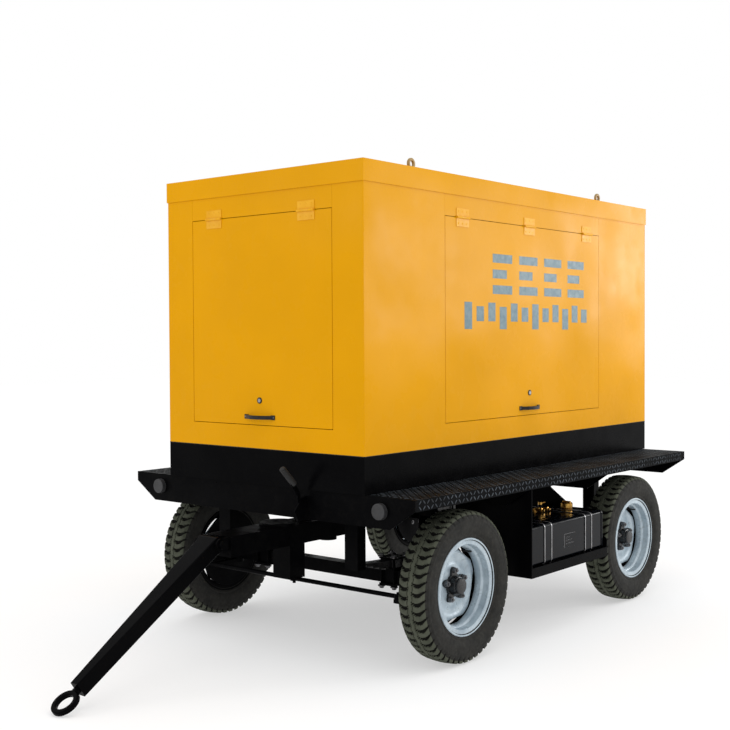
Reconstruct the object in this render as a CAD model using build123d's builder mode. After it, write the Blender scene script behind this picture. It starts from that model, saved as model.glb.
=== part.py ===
from build123d import *
from math import asin, atan2, cos, degrees, hypot, sin
import os

os.makedirs("parts", exist_ok=True)

# Towable diesel generator: a four-wheeled drawbar trailer carrying a generating set in a steel canopy.
# Millimetres. +Z up, -Y is the towing direction, +X is the trailer's left side.
# The origin is on the ground, below the middle of the trailer and its lowered drawbar.

# ---------------------------------------------------------------- driving dimensions
# canopy
canopy_length = 2770.0
canopy_width = 1310.0
canopy_top = 2331.0            # top of the roof lid above the ground
sheet = 3.0                    # canopy sheet
lid_skirt = 100.0              # depth of the roof lid's turned-down edge
lid_overhang = 5.0             # how far the lid's skirt stands out past the walls
lid_sheet = 3.5
return_depth = 28.0            # depth of the folded returns round each door opening
wall_rim = 28.0                # width of the wall's inward rims at top and bottom

# doors
end_door_width = 934.0
side_door_length = 1544.0
door_height = 1009.0
door_sill = 116.0              # bottom of a door above the bottom of the canopy
door_gap = 3.0                 # gap between a door and its opening
panel_seam = 0.8               # seam beside the panels over the doors
door_return = 22.0             # depth of the door's folded edge behind its skin
lock_rise = 118.0              # lock above the bottom of its door
lock_bore = 9.0
handle_drop = 80.0             # handle below the lock
handle_length = 204.0
handle_reach = 42.0
handle_bar = 9.0
hinge_leaf = 45.0              # height of each hinge leaf
hinge_leaf_sheet = 3.0
hinge_knuckle = 6.0
hinge_pin = 3.0
hinge_width = 106.0
end_hinge_offset = 310.0
side_hinge_offset = 626.0

# base frame of the generating set
base_height = 173.0
base_wall = 5.0
base_rim = 60.0
bearer_width = 60.0
bearer_height = 140.0
bearer_offset = 330.0
mount_height = 40.0            # rubber mounts between the bearers and the engine's feet
battery_bearer_room = 44.7      # free width between the bearer and the battery
battery_rim_room = 15.0         # free width between the battery and the base frame's top rim
battery_post_inset = 45.0

# chassis and side decks
deck_top = 824.0               # top of the walkways above the ground
deck_plate = 4.0
deck_half_width = 931.0
tread_height = 2.0             # the decks' faces are this far in, for their raised tread
deck_skirt = 52.0
rail_height = 137.0
rail_width = 60.0
rail_wall = 6.0
rail_offset = 430.0            # rail and leaf spring centre line from the middle
end_plate = 8.0
end_plate_setback = 10.0       # front end plate behind the canopy's front face
rear_setback = 25.0            # rear end plate ahead of the canopy's rear face
corner_drop = 48.0             # straight part of the end plate's outer edge
corner_cut = 141.0             # how far in the sloping corner runs
crossmember_width = 60.0
crossmember_height = 100.0

# wheels and axles
tyre_radius = 360.0
tyre_width = 160.0
rim_flange_radius = 230.0
rim_seat_radius = 203.0
rim_half_width = 68.0
rim_sheet = 5.0
disc_setback = 16.0            # wheel disc's outer face inboard of the tyre's middle
disc_sheet = 6.0
hub_radius = 54.0
hub_reach = 42.0               # hub's end outboard of the tyre's middle
stud_circle = 145.0
stud_count = 5
stud_radius = 7.0
nut_across = 24.0
nut_height = 14.0
drum_radius = 118.0
drum_depth = 46.0
stub_radius = 20.0
running_gap = 0.05             # radial clearance of a turning fit
part_gap = 0.3                 # clearance between separate pieces
track_half = 804.0
front_axle_back = 489.0        # front axle behind the canopy's front face
wheelbase = 1706.0
axle_beam = 66.0
axle_wall = 7.0

# leaf springs
spring_half_length = 290.0
spring_camber = 20.0
spring_width = 60.0
leaf_thickness = 8.0
leaf_gap = 0.4
leaf_count = 5
leaf_step = 48.0               # each leaf is this much shorter at either end
spring_eye_radius = 20.0
spring_pin_radius = 9.0
seat_pad = 10.0

# steering
kingpin_offset = 660.0
kingpin_radius = 14.0
kingpin_boss = 28.0
knuckle_ear = 22.0
knuckle_gap = 2.0
steering_arm = 255.0           # tie rod ahead of the front axle
tie_rod_height = 331.0
tie_rod_radius = 11.0
ball_stud_radius = 8.0
rod_eye_radius = 20.0
rod_eye_height = 20.0

# drawbar
hinge_ahead = 325.0            # drawbar hinge ahead of the canopy's front face
hinge_height = 585.0
hinge_to_eye = 975.0
eye_bore_radius = 38.0
eye_ring = 24.0                # width and height of the ring's section
eye_round = 7.0                # rounding of the ring's edges
drawbar_height = 72.0
drawbar_rear_width = 112.0
drawbar_front_width = 48.0
eye_shank = 12.0
drawbar_pin_radius = 14.0
ear_sheet = 14.0
tongue_height = 96.0
tongue_top = 616.0
tongue_half_width = 84.0
tongue_wall = 8.0
pivot_radius = 30.0
guide_disc_radius = 95.0
drop_arm_half_width = 58.0

# hand brake
brake_lever_offset = 283.0
brake_pivot_radius = 8.0

# generating set
shaft_height = 1290.0
shaft_radius = 40.0
block_width = 380.0
block_length = 800.0
block_front = 1470.0           # flywheel end of the engine block behind the canopy's front face
block_bottom = 1090.0
block_height = 420.0
bell_radius = 235.0
bell_length = 130.0
alternator_radius = 225.0
alternator_length = 620.0
rotor_radius = 150.0
crank_groove = 72.0
fan_groove = 54.0
belt_thickness = 8.0
belt_width = 12.0
fan_rise = 300.0               # fan shaft above the crankshaft
fan_radius = 300.0
fan_blades = 6
radiator_width = 880.0
radiator_height = 880.0
radiator_depth = 90.0

# fuel tank
tank_length = 740.0
tank_depth = 400.0
tank_height = 203.0
tank_face = 905.0              # outer face of the tank from the middle
tank_middle = 1372.0           # tank's middle behind the canopy's front face
tank_bottom = 374.0
tank_corner = 18.0
tray_sheet = 6.0
tray_edge = 50.0
tray_margin = 18.0

# lamps and lifting eyes
lamp_radius = 36.0
lamp_reach = 22.0
lamp_offset = 740.0
lamp_height = 761.0
eye_offset = 570.0
eye_inset = 463.0
lift_bore = 15.0
lift_ring = 13.0
lift_collar = 8.0

# ---------------------------------------------------------------- worked out from the above
eye_far = hinge_to_eye + eye_bore_radius + eye_ring - eye_round
eye_side = eye_ring / 2 - eye_round
eye_angle = atan2(eye_side, eye_far)
drawbar_pitch = asin((hinge_height - eye_round) / hypot(eye_far, eye_side)) - eye_angle
nose = hinge_ahead + eye_far * cos(drawbar_pitch) + eye_side * sin(drawbar_pitch) + eye_round
front_y = (nose - canopy_length - lid_overhang) / 2


def along(distance):
    """Y of a point this far behind the canopy's front face."""
    return front_y + distance


rear_y = along(canopy_length)
half_width = canopy_width / 2
base_top = deck_top + base_height
deck_bottom = deck_top - deck_plate
rail_bottom = deck_bottom - rail_height
front_axle_y = along(front_axle_back)
rear_axle_y = front_axle_y + wheelbase
axle_height = tyre_radius
wall_top = canopy_top - lid_sheet
lid_bottom = canopy_top - lid_skirt
door_bottom = base_top + door_sill
door_top = door_bottom + door_height
hinge_z = door_top + door_gap / 2
lock_z = door_bottom + lock_rise
handle_z = lock_z - handle_drop
hinge_stand_off = hinge_knuckle + 1.0
side_door_middle = along(1395.0)
beam_top = axle_height + axle_beam / 2
bearer_top = deck_top + bearer_height
block_rear = block_front + block_length


# ---------------------------------------------------------------- small building helpers
def block(x, y, z, mode=Mode.ADD):
    """A box between two limits on each axis."""
    with Locations(((x[0] + x[1]) / 2, (y[0] + y[1]) / 2, (z[0] + z[1]) / 2)):
        Box(x[1] - x[0], y[1] - y[0], z[1] - z[0], mode=mode)


def rod_x(centre, radius, length, mode=Mode.ADD):
    """A cylinder lying along X."""
    with Locations(centre):
        Cylinder(radius, length, rotation=(0, 90, 0), mode=mode)


def rod_y(centre, radius, length, mode=Mode.ADD):
    """A cylinder lying along Y."""
    with Locations(centre):
        Cylinder(radius, length, rotation=(90, 0, 0), mode=mode)


def rod_z(centre, radius, length, mode=Mode.ADD):
    """A cylinder standing along Z."""
    with Locations(centre):
        Cylinder(radius, length, mode=mode)


def box_tube(x, y, z, wall, along_axis):
    """A rectangular tube, open along the named axis."""
    block(x, y, z)
    limits = {"x": x, "y": y, "z": z}
    inner = {k: (v[0] + wall, v[1] - wall) for k, v in limits.items()}
    inner[along_axis] = limits[along_axis]
    block(inner["x"], inner["y"], inner["z"], mode=Mode.SUBTRACT)


def upright(y):
    """A plane across the trailer at this Y: its x is X, its y is Z, and it faces forward."""
    return Plane(origin=(0, y, 0), x_dir=(1, 0, 0), z_dir=(0, -1, 0))


def save(part, name):
    """Label a finished piece and write it under its own name."""
    part.part.label = name
    export_step(part.part, f"parts/{name}.step")


# ---------------------------------------------------------------- chassis
front_plate_y = along(end_plate_setback)
rear_plate_y = along(canopy_length - rear_setback)
rail_limits = (front_plate_y + end_plate, rear_plate_y - end_plate)
plate_low = rail_bottom
pivot_crossmember = 80.0         # half the length of the steering pivot's crossmember

with BuildPart() as chassis_frame:
    for side in (-1, 1):
        rail_x = (side * rail_offset - rail_width / 2, side * rail_offset + rail_width / 2)
        box_tube(rail_x, rail_limits, (rail_bottom, deck_bottom), rail_wall, "y")
    # end plates across the full width, with their lower outer corners cut off
    for plate_y in (front_plate_y + end_plate, rear_plate_y):
        with BuildSketch(upright(plate_y)):
            with BuildLine():
                Polyline(
                    (-deck_half_width, deck_top),
                    (deck_half_width, deck_top),
                    (deck_half_width, deck_top - corner_drop),
                    (deck_half_width - corner_cut, plate_low),
                    (corner_cut - deck_half_width, plate_low),
                    (-deck_half_width, deck_top - corner_drop),
                    close=True,
                )
            make_face()
        extrude(amount=end_plate)
    # crossmembers between the rails
    inner = rail_offset - rail_width / 2
    for distance in (1000.0, 1750.0, 2195.0, 2600.0):
        member_y = (along(distance) - crossmember_width / 2, along(distance) + crossmember_width / 2)
        member_z = (deck_bottom - crossmember_height - 10.0, deck_bottom - 10.0)
        box_tube((-inner, inner), member_y, member_z, rail_wall, "x")
    # deep crossmember that carries the steering pivot
    pivot_y = (front_axle_y - pivot_crossmember, front_axle_y + pivot_crossmember)
    block((-inner, inner), pivot_y, (rail_bottom, rail_bottom + tongue_wall))
    block((-inner, inner), pivot_y, (deck_bottom - tongue_wall, deck_bottom))
    for edge in pivot_y:
        wall_y = (edge, edge + rail_wall) if edge < front_axle_y else (edge - rail_wall, edge)
        block((-inner, inner), wall_y, (rail_bottom, deck_bottom))
    # pivot pin hung from it, with a retaining collar below the tongue
    pin_bottom = tongue_top - tongue_height - 26.0
    rod_z((0, front_axle_y, (pin_bottom + deck_bottom) / 2), pivot_radius, deck_bottom - pin_bottom)
    rod_z((0, front_axle_y, pin_bottom + 10.0), pivot_radius + 16.0, 20.0)
    rod_z((0, front_axle_y, rail_bottom - 12.0), pivot_radius + 34.0, 24.0)
    # outriggers under the decks, beside the fuel tank
    for side in (-1, 1):
        for distance in (tank_middle - tank_length / 2 - 48.0, tank_middle + tank_length / 2 + 48.0):
            with BuildSketch(upright(along(distance))):
                with BuildLine():
                    Polyline(
                        (side * (rail_offset + rail_width / 2), deck_bottom),
                        (side * (deck_half_width - tread_height - deck_plate - 1), deck_bottom),
                        (side * (deck_half_width - tread_height - deck_plate - 1), deck_top - corner_drop),
                        (side * (deck_half_width - corner_cut), plate_low),
                        (side * (rail_offset + rail_width / 2), plate_low),
                        close=True,
                    )
                make_face()
            extrude(amount=end_plate)
    # lamp sockets are through holes in the end plates
    for side in (-1, 1):
        rod_y((side * lamp_offset, front_plate_y, lamp_height), lamp_radius - 10, 40.0, Mode.SUBTRACT)
        rod_y((side * lamp_offset, rear_plate_y, lamp_height), lamp_radius - 10, 40.0, Mode.SUBTRACT)
    # bracket for the hand brake on the front plate
    bracket_x = (brake_lever_offset + 4 + 1.0, brake_lever_offset + 4 + 9.0)
    with BuildSketch(Plane(origin=(bracket_x[0], 0, 0), x_dir=(0, 1, 0), z_dir=(1, 0, 0))):
        with BuildLine():
            Polyline(
                (front_plate_y, rail_bottom - 2.0),
                (front_plate_y, rail_bottom + 110.0),
                (front_plate_y - 32.0, rail_bottom + 104.0),
                (front_plate_y - 84.0, rail_bottom + 46.0),
                (front_plate_y - 60.0, rail_bottom - 2.0),
                close=True,
            )
        make_face()
    extrude(amount=bracket_x[1] - bracket_x[0])
    brake_pivot = (brake_lever_offset, front_plate_y - 40.0, rail_bottom + 18.0)
    rod_x((brake_lever_offset, brake_pivot[1], brake_pivot[2]), brake_pivot_radius, 26.0)
save(chassis_frame, "chassis_frame")

# ---------------------------------------------------------------- decks
deck_inner = rail_offset - rail_width / 2
deck_outer = deck_half_width - tread_height
for side, side_name in ((1, "left"), (-1, "right")):
    with BuildPart() as deck:
        with BuildSketch(upright(rail_limits[1])):
            with BuildLine():
                Polyline(
                    (side * deck_inner, deck_bottom),
                    (side * deck_inner, deck_top),
                    (side * deck_outer, deck_top),
                    (side * deck_outer, deck_top - deck_skirt),
                    (side * (deck_outer - deck_plate), deck_top - deck_skirt),
                    (side * (deck_outer - deck_plate), deck_bottom),
                    close=True,
                )
            make_face()
        extrude(amount=rail_limits[1] - rail_limits[0])
    save(deck, f"deck_{side_name}")

# ---------------------------------------------------------------- base frame
with BuildPart() as base_frame:
    box_tube((-half_width, half_width), (front_y, rear_y), (deck_top, base_top), base_wall, "z")
    for low in (deck_top, base_top - base_wall):
        box_tube(
            (-half_width, half_width), (front_y, rear_y), (low, low + base_wall), base_rim, "z"
        )
    for distance in (620.0, 1390.0, 2280.0):
        cross_y = (along(distance) - 40.0, along(distance) + 40.0)
        box_tube((1 - half_width, half_width - 1), cross_y, (deck_top, deck_top + 80.0), base_wall, "x")
    for side in (-1, 1):
        bearer = (side * bearer_offset - bearer_width / 2, side * bearer_offset + bearer_width / 2)
        bearer_y = (front_y + base_wall, rear_y - base_wall)
        box_tube(bearer, bearer_y, (deck_top, bearer_top), base_wall, "y")
save(base_frame, "base_frame")

# ---------------------------------------------------------------- canopy walls and door openings
faces = {
    "front": Plane(origin=(0, front_y, 0), x_dir=(1, 0, 0), z_dir=(0, -1, 0)),
    "rear": Plane(origin=(0, rear_y, 0), x_dir=(-1, 0, 0), z_dir=(0, 1, 0)),
    "left": Plane(origin=(half_width, side_door_middle, 0), x_dir=(0, 1, 0), z_dir=(1, 0, 0)),
    "right": Plane(origin=(-half_width, side_door_middle, 0), x_dir=(0, -1, 0), z_dir=(-1, 0, 0)),
}
panel_half = {
    "front": end_door_width / 2,
    "rear": end_door_width / 2,
    "left": side_door_length / 2,
    "right": side_door_length / 2,
}


def opening_returns(half):
    """Folded returns of the jambs and the sill behind a door opening, in the face's own frame."""
    edge = half + door_gap
    sill = door_bottom - door_gap
    for side in (-1, 1):
        jamb = sorted((side * edge, side * (edge + sheet)))
        block(jamb, (sill - sheet, wall_top), (-return_depth, -sheet / 2))
    block((-edge - sheet, edge + sheet), (sill - sheet, sill), (-return_depth, -sheet / 2))


opening_cuts = []
opening_folds = []
header_panels = []
for name, face in faces.items():
    edge = panel_half[name] + door_gap
    with BuildPart(face) as opening_cut:
        block((-edge, edge), (door_bottom - door_gap, wall_top - sheet), (-sheet, 1))
    opening_cuts.append(opening_cut.part)
    with BuildPart(face) as opening_fold:
        opening_returns(panel_half[name])
    opening_folds.append(opening_fold.part)
    with BuildPart(face) as header_panel:
        header_z = (door_top + door_gap, wall_top - sheet)
        block((-edge + panel_seam, edge - panel_seam), header_z, (-sheet, 0))
    header_panels.append(header_panel.part)

with BuildPart() as canopy_shell:
    box_tube((-half_width, half_width), (front_y, rear_y), (base_top, wall_top), sheet, "z")
    add(opening_cuts, mode=Mode.SUBTRACT)
    for low in (base_top, wall_top - sheet):
        box_tube((-half_width, half_width), (front_y, rear_y), (low, low + sheet), wall_rim, "z")
    add(opening_folds)
    add(header_panels)
save(canopy_shell, "canopy_shell")

# ---------------------------------------------------------------- roof
with BuildPart() as roof_lid:
    lid_x = half_width + lid_overhang
    block((-lid_x, lid_x), (front_y - lid_overhang, rear_y + lid_overhang), (lid_bottom, canopy_top))
    block(
        (lid_sheet - lid_x, lid_x - lid_sheet),
        (front_y - lid_overhang + lid_sheet, rear_y + lid_overhang - lid_sheet),
        (lid_bottom, canopy_top - lid_sheet),
        mode=Mode.SUBTRACT,
    )
save(roof_lid, "roof_lid")

lift_eye_z = canopy_top + lift_collar + lift_bore + lift_ring - 3.0
with BuildPart() as lifting_eyes:
    lift_places = [
        (side * eye_offset, eye_y)
        for side in (-1, 1)
        for eye_y in (front_y + eye_inset, rear_y - eye_inset)
    ]
    for place in lift_places:
        rod_x((*place, lift_eye_z), lift_bore + lift_ring, lift_ring)
    fillet(lifting_eyes.edges().filter_by(GeomType.CIRCLE), 4.0)
    for place in lift_places:
        rod_x((*place, lift_eye_z), lift_bore, lift_ring, Mode.SUBTRACT)
        rod_z((*place, canopy_top + lift_collar / 2), lift_bore + 6, lift_collar)
save(lifting_eyes, "lifting_eyes")

# ---------------------------------------------------------------- doors
hinge_offsets = {
    "front": (-end_hinge_offset, end_hinge_offset),
    "left": (-side_hinge_offset, 0, side_hinge_offset),
    "right": (-side_hinge_offset, 0, side_hinge_offset),
}
moving_knuckle = hinge_width * 0.4
fixed_knuckle = (hinge_width - moving_knuckle) / 2 - part_gap
knuckle_centre = (moving_knuckle + fixed_knuckle) / 2 + part_gap
cam_length = lock_rise + 16.0
cam_plane = (-return_depth - 5.0, -return_depth - 2.0)


def cross_plane(face, height):
    """A level plane at this height: its x runs along the face and its y points out of it."""
    origin = face.from_local_coords(Vector(0, height, 0))
    return Plane(origin=origin, x_dir=face.x_dir, z_dir=-face.y_dir)


for name, offsets in hinge_offsets.items():
    face = faces[name]
    half = panel_half[name]

    with BuildPart(face) as door:
        block((-half, half), (door_bottom, door_top), (-sheet, 0))
        for side in (-1, 1):
            stile = sorted((side * half, side * (half - sheet)))
            block(stile, (door_bottom, door_top), (-sheet - door_return, -sheet))
            stiffener = sorted((side * (half - 130.0), side * (half - 170.0)))
            block(stiffener, (door_bottom + sheet, door_top - sheet), (-sheet - 14.0, -sheet))
        for rail_z in (door_bottom, door_top - sheet):
            block((-half, half), (rail_z, rail_z + sheet), (-sheet - door_return, -sheet))
        rod_z((0, lock_z, 0), lock_bore, 4 * sheet, Mode.SUBTRACT)
    save(door, f"{name}_door")

    with BuildPart(face) as fittings:
        # bow handle, square to the door
        for end in (-1, 1):
            foot = sorted((end * handle_length / 2, end * (handle_length / 2 - 26.0)))
            block(foot, (handle_z - 11.0, handle_z + 11.0), (0, 3.0))
        with BuildSketch(cross_plane(face, handle_z)):
            with BuildLine():
                bow = handle_length / 2 - 8.0
                Polyline((bow - handle_bar, 2.0), (bow, 2.0))
                ThreePointArc((bow, 2.0), (0, handle_reach), (-bow, 2.0))
                Polyline((-bow, 2.0), (handle_bar - bow, 2.0))
                ThreePointArc(
                    (handle_bar - bow, 2.0), (0, handle_reach - handle_bar), (bow - handle_bar, 2.0)
                )
            make_face()
        extrude(amount=handle_bar, both=True)
        # bezel round the lock
        rod_z((0, lock_z, 1.5), lock_bore + 6.0, 3.0)
        rod_z((0, lock_z, 1.5), lock_bore, 3.0, Mode.SUBTRACT)
        # door-side hinge leaves, each with its middle knuckle
        for offset in offsets:
            leaf_x = (offset - hinge_width / 2, offset + hinge_width / 2)
            block(leaf_x, (hinge_z - hinge_leaf, hinge_z - 0.5), (0, hinge_leaf_sheet))
            for end in (-1, 1):
                cut = (offset + end * knuckle_centre, hinge_z, hinge_stand_off)
                rod_x(cut, hinge_knuckle + 0.6, fixed_knuckle + 2 * part_gap, Mode.SUBTRACT)
            rod_x((offset, hinge_z, hinge_stand_off), hinge_knuckle, moving_knuckle)
            rod_x(
                (offset, hinge_z, hinge_stand_off), hinge_pin + running_gap, hinge_width, Mode.SUBTRACT
            )
    save(fittings, f"{name}_door_fittings")

    with BuildPart(face) as lock:
        barrel = (cam_plane[0], 4.0)
        rod_z((0, lock_z, sum(barrel) / 2), lock_bore - running_gap, barrel[1] - barrel[0])
        block((-1.2, 1.2), (lock_z - 5.0, lock_z + 5.0), (1.0, 4.0), mode=Mode.SUBTRACT)
        block((-9.0, cam_length), (lock_z - 9.0, lock_z + 9.0), cam_plane)
    save(lock, f"{name}_lock")

hinge_parts = []
for name, offsets in hinge_offsets.items():
    for offset in offsets:
        with BuildPart(faces[name]) as hinge_leaf_part:
            leaf_x = (offset - hinge_width / 2, offset + hinge_width / 2)
            block(leaf_x, (hinge_z + 0.5, hinge_z + hinge_leaf), (0, hinge_leaf_sheet))
            middle = (offset, hinge_z, hinge_stand_off)
            rod_x(middle, hinge_knuckle + 0.6, moving_knuckle + 2 * part_gap, Mode.SUBTRACT)
            for end in (-1, 1):
                centre = (offset + end * knuckle_centre, hinge_z, hinge_stand_off)
                rod_x(centre, hinge_knuckle, fixed_knuckle)
            rod_x(middle, hinge_pin + running_gap, hinge_width + 10, Mode.SUBTRACT)
        with BuildPart(faces[name]) as pin_part:
            rod_x(middle, hinge_pin, hinge_width + 4)
        hinge_parts += [hinge_leaf_part.part, pin_part.part]
with BuildPart() as door_hinge_frames:
    add(hinge_parts)
save(door_hinge_frames, "door_hinge_frames")

# ---------------------------------------------------------------- rear louvre panel
window_x = panel_half["rear"] - 50.0
window_z = (door_bottom + 50.0, door_top - 230.0)
louvre_pitch = 52.0
louvre_count = int((window_z[1] - window_z[0]) / louvre_pitch)
exhaust_x = -250.0
exhaust_z = 1962.0
exhaust_radius = 32.0
with BuildPart(faces["rear"]) as rear_grille:
    half = panel_half["rear"]
    block((-half, half), (door_bottom, door_top), (-sheet, 0))
    block((-window_x, window_x), window_z, (-sheet, 0), mode=Mode.SUBTRACT)
    for side in (-1, 1):
        cheek = sorted((side * window_x, side * (window_x + sheet)))
        block(cheek, window_z, (-44.0, 0))
    for i in range(louvre_count):
        blade_z = window_z[0] + (i + 0.5) * (window_z[1] - window_z[0]) / louvre_count
        with Locations((0, blade_z, -22.0)):
            Box(2 * window_x + 2, 46.0, 2.5, rotation=(-40, 0, 0))
    rod_z((-exhaust_x, exhaust_z, 0), exhaust_radius + 5.0, 4 * sheet, Mode.SUBTRACT)
save(rear_grille, "rear_grille")

# ---------------------------------------------------------------- engine and alternator
mount_top = bearer_top + mount_height
block_y = (along(block_front), along(block_rear))
block_z = (block_bottom, block_bottom + block_height)
head_z = (block_z[1] + part_gap, block_z[1] + 90.0)
pulley_y = block_y[1] + 28.0
fan_z = shaft_height + fan_rise
foot_distances = (
    tank_middle - 560.0,
    tank_middle - 130.0,
    block_front + 170.0,
    block_rear - 130.0,
)

with BuildPart() as engine_block:
    block((-block_width / 2, block_width / 2), block_y, block_z)
    chamfer(engine_block.edges().filter_by(Axis.Y).group_by(Axis.Z)[-1], 30.0)
    for distance in foot_distances[2:]:
        foot_y = (along(distance) - 35.0, along(distance) + 35.0)
        for side in (-1, 1):
            arm = sorted((side * (block_width / 2 - 5.0), side * (bearer_offset + 40.0)))
            block(arm, foot_y, (block_bottom + 20.0, block_bottom + 42.0))
            leg = sorted((side * (bearer_offset - 30.0), side * (bearer_offset + 40.0)))
            block(leg, foot_y, (mount_top, block_bottom + 30.0))
    crank_at = (0, sum(block_y) / 2, shaft_height)
    rod_y(crank_at, shaft_radius + running_gap, 2 * block_length, Mode.SUBTRACT)

with BuildPart() as cylinder_head:
    block((-block_width / 2 + 45, block_width / 2 - 45), (block_y[0] + 15, block_y[1] - 15), head_z)

with BuildPart() as rocker_cover:
    cover_z = (head_z[1] + part_gap, head_z[1] + 66.0)
    block((-105.0, 105.0), (block_y[0] + 40, block_y[1] - 40), cover_z)
    fillet(rocker_cover.edges().group_by(Axis.Z)[-1], 22.0)

with BuildPart() as oil_sump:
    sump_z = (block_bottom - 110.0, block_bottom - part_gap)
    block((-135.0, 135.0), (block_y[0] + 40, block_y[1] - 30), sump_z)
    chamfer(oil_sump.edges().filter_by(Axis.Y).group_by(Axis.Z)[0], 35.0)

with BuildPart() as flywheel_housing:
    bell_middle = block_y[0] - bell_length / 2 - part_gap
    rod_y((0, bell_middle, shaft_height), bell_radius, bell_length)
    rod_y((0, bell_middle, shaft_height), bell_radius - 12.0, bell_length, Mode.SUBTRACT)

with BuildPart() as fan_bracket:
    bracket_y = (block_y[1] + part_gap, pulley_y - belt_width / 2 - 10.0)
    block((-45.0, 45.0), bracket_y, (block_z[1] - 120.0, fan_z + 34.0))
    rod_y((0, sum(bracket_y) / 2, fan_z), 15.0 + running_gap, 60.0, Mode.SUBTRACT)

with BuildPart() as engine:
    add([
        engine_block.part,
        cylinder_head.part,
        rocker_cover.part,
        oil_sump.part,
        flywheel_housing.part,
        fan_bracket.part,
    ])
save(engine, "engine")

with BuildPart() as engine_mounts:
    for distance in foot_distances:
        for side in (-1, 1):
            mount_at = (side * bearer_offset, along(distance), bearer_top + mount_height / 2)
            rod_z(mount_at, 27.0, mount_height)
save(engine_mounts, "engine_mounts")

alternator_rear = block_y[0] - bell_length - 2 * part_gap
alternator_y = (alternator_rear - alternator_length, alternator_rear)
end_bell = 22.0
with BuildPart() as alternator:
    middle = sum(alternator_y) / 2
    rod_y((0, middle, shaft_height), alternator_radius, alternator_length)
    for distance in foot_distances[:2]:
        foot_y = (along(distance) - 35.0, along(distance) + 35.0)
        block((-bearer_offset - 40, bearer_offset + 40), foot_y, (mount_top, mount_top + 16.0))
        block((-170.0, 170.0), foot_y, (mount_top, shaft_height - 120.0))
    block((-150.0, 150.0), (middle - 160.0, middle + 160.0), (shaft_height, shaft_height + 350.0))
    rod_y((0, middle + end_bell, shaft_height), rotor_radius + 4.0, alternator_length, Mode.SUBTRACT)
    rod_y((0, middle, shaft_height), shaft_radius + running_gap, 2 * alternator_length, Mode.SUBTRACT)
save(alternator, "alternator")

with BuildPart() as rotor_shaft:
    shaft_y = (alternator_y[0] - 12.0, pulley_y + 22.0)
    rod_y((0, sum(shaft_y) / 2, shaft_height), shaft_radius, shaft_y[1] - shaft_y[0])
    rotor_y = (alternator_y[0] + end_bell + 50.0, alternator_y[1] - 50.0)
    rod_y((0, sum(rotor_y) / 2, shaft_height), rotor_radius, rotor_y[1] - rotor_y[0])
    rod_y((0, block_y[0] - bell_length / 2, shaft_height), bell_radius - 40.0, 44.0)
    # crankshaft pulley: a groove between two flanges
    rod_y((0, pulley_y, shaft_height), crank_groove, belt_width + 14.0)
    for side in (-1, 1):
        rim_y = pulley_y + side * (belt_width / 2 + 4.0)
        rod_y((0, rim_y, shaft_height), crank_groove + 10.0, 6.0)
save(rotor_shaft, "rotor_shaft")

fan_plane = Plane(origin=(0, pulley_y + 74.0, fan_z), x_dir=(1, 0, 0), z_dir=(0, 1, 0))
with BuildPart() as cooling_fan:
    fan_shaft_y = (block_y[1] + part_gap, fan_plane.origin.Y + 20.0)
    rod_y((0, sum(fan_shaft_y) / 2, fan_z), 15.0, fan_shaft_y[1] - fan_shaft_y[0])
    rod_y((0, pulley_y, fan_z), fan_groove, belt_width + 14.0)
    for side in (-1, 1):
        rod_y((0, pulley_y + side * (belt_width / 2 + 4.0), fan_z), fan_groove + 10.0, 6.0)
    rod_y((0, fan_plane.origin.Y, fan_z), 70.0, 34.0)
    with Locations(fan_plane):
        with PolarLocations((fan_radius + 60.0) / 2, fan_blades):
            Box(fan_radius - 60.0, 96.0, 5.0, rotation=(28, 0, 0))
save(cooling_fan, "cooling_fan")

belt_plane = Plane(origin=(0, pulley_y + belt_width / 2, 0), x_dir=(1, 0, 0), z_dir=(0, -1, 0))
belt_loops = []
for swell in (part_gap, part_gap + belt_thickness):
    with BuildSketch(belt_plane) as belt_loop:
        with Locations((0, shaft_height)):
            Circle(crank_groove + swell)
        with Locations((0, fan_z)):
            Circle(fan_groove + swell)
        make_hull()
    belt_loops.append(belt_loop.sketch)
with BuildPart() as fan_belt:
    extrude(belt_loops[1], amount=belt_width)
    extrude(belt_loops[0], amount=belt_width, mode=Mode.SUBTRACT)
save(fan_belt, "fan_belt")

# ---------------------------------------------------------------- cooling, air, exhaust, battery
radiator_y = (fan_plane.origin.Y + 60.0, fan_plane.origin.Y + 60.0 + radiator_depth)
radiator_z = (bearer_top + 70.0, bearer_top + 70.0 + radiator_height)
shroud_front = fan_plane.origin.Y + 6.0
with BuildPart() as radiator:
    block((-radiator_width / 2, radiator_width / 2), radiator_y, radiator_z)
    box_tube(
        (-radiator_width / 2, radiator_width / 2), (shroud_front, radiator_y[0]), radiator_z, sheet, "y"
    )
    block((-radiator_width / 2, radiator_width / 2), (shroud_front, shroud_front + sheet), radiator_z)
    rod_y((0, shroud_front, fan_z), fan_radius + 14.0, 30.0, Mode.SUBTRACT)
    for side in (-1, 1):
        leg = (side * bearer_offset - 25.0, side * bearer_offset + 25.0)
        block(leg, (radiator_y[0] + 10, radiator_y[1] - 10), (bearer_top, radiator_z[0]))
    rod_z((radiator_width / 4, sum(radiator_y) / 2, radiator_z[1] + 9.0), 26.0, 18.0)
save(radiator, "radiator")

with BuildPart() as air_cleaner:
    cleaner_at = (235.0, sum(block_y) / 2, head_z[1] + 190.0)
    rod_y(cleaner_at, 105.0, 420.0)
    fillet(air_cleaner.edges().filter_by(GeomType.CIRCLE), 14.0)
    rod_y((cleaner_at[0], cleaner_at[1] - 130.0, cleaner_at[2]), 110.0, 18.0)
    rod_y((cleaner_at[0], cleaner_at[1] + 130.0, cleaner_at[2]), 110.0, 18.0)
    block((118.0, 140.0), (cleaner_at[1] - 90, cleaner_at[1] + 90), (head_z[1], cleaner_at[2] - 30.0))
save(air_cleaner, "air_cleaner")

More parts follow.
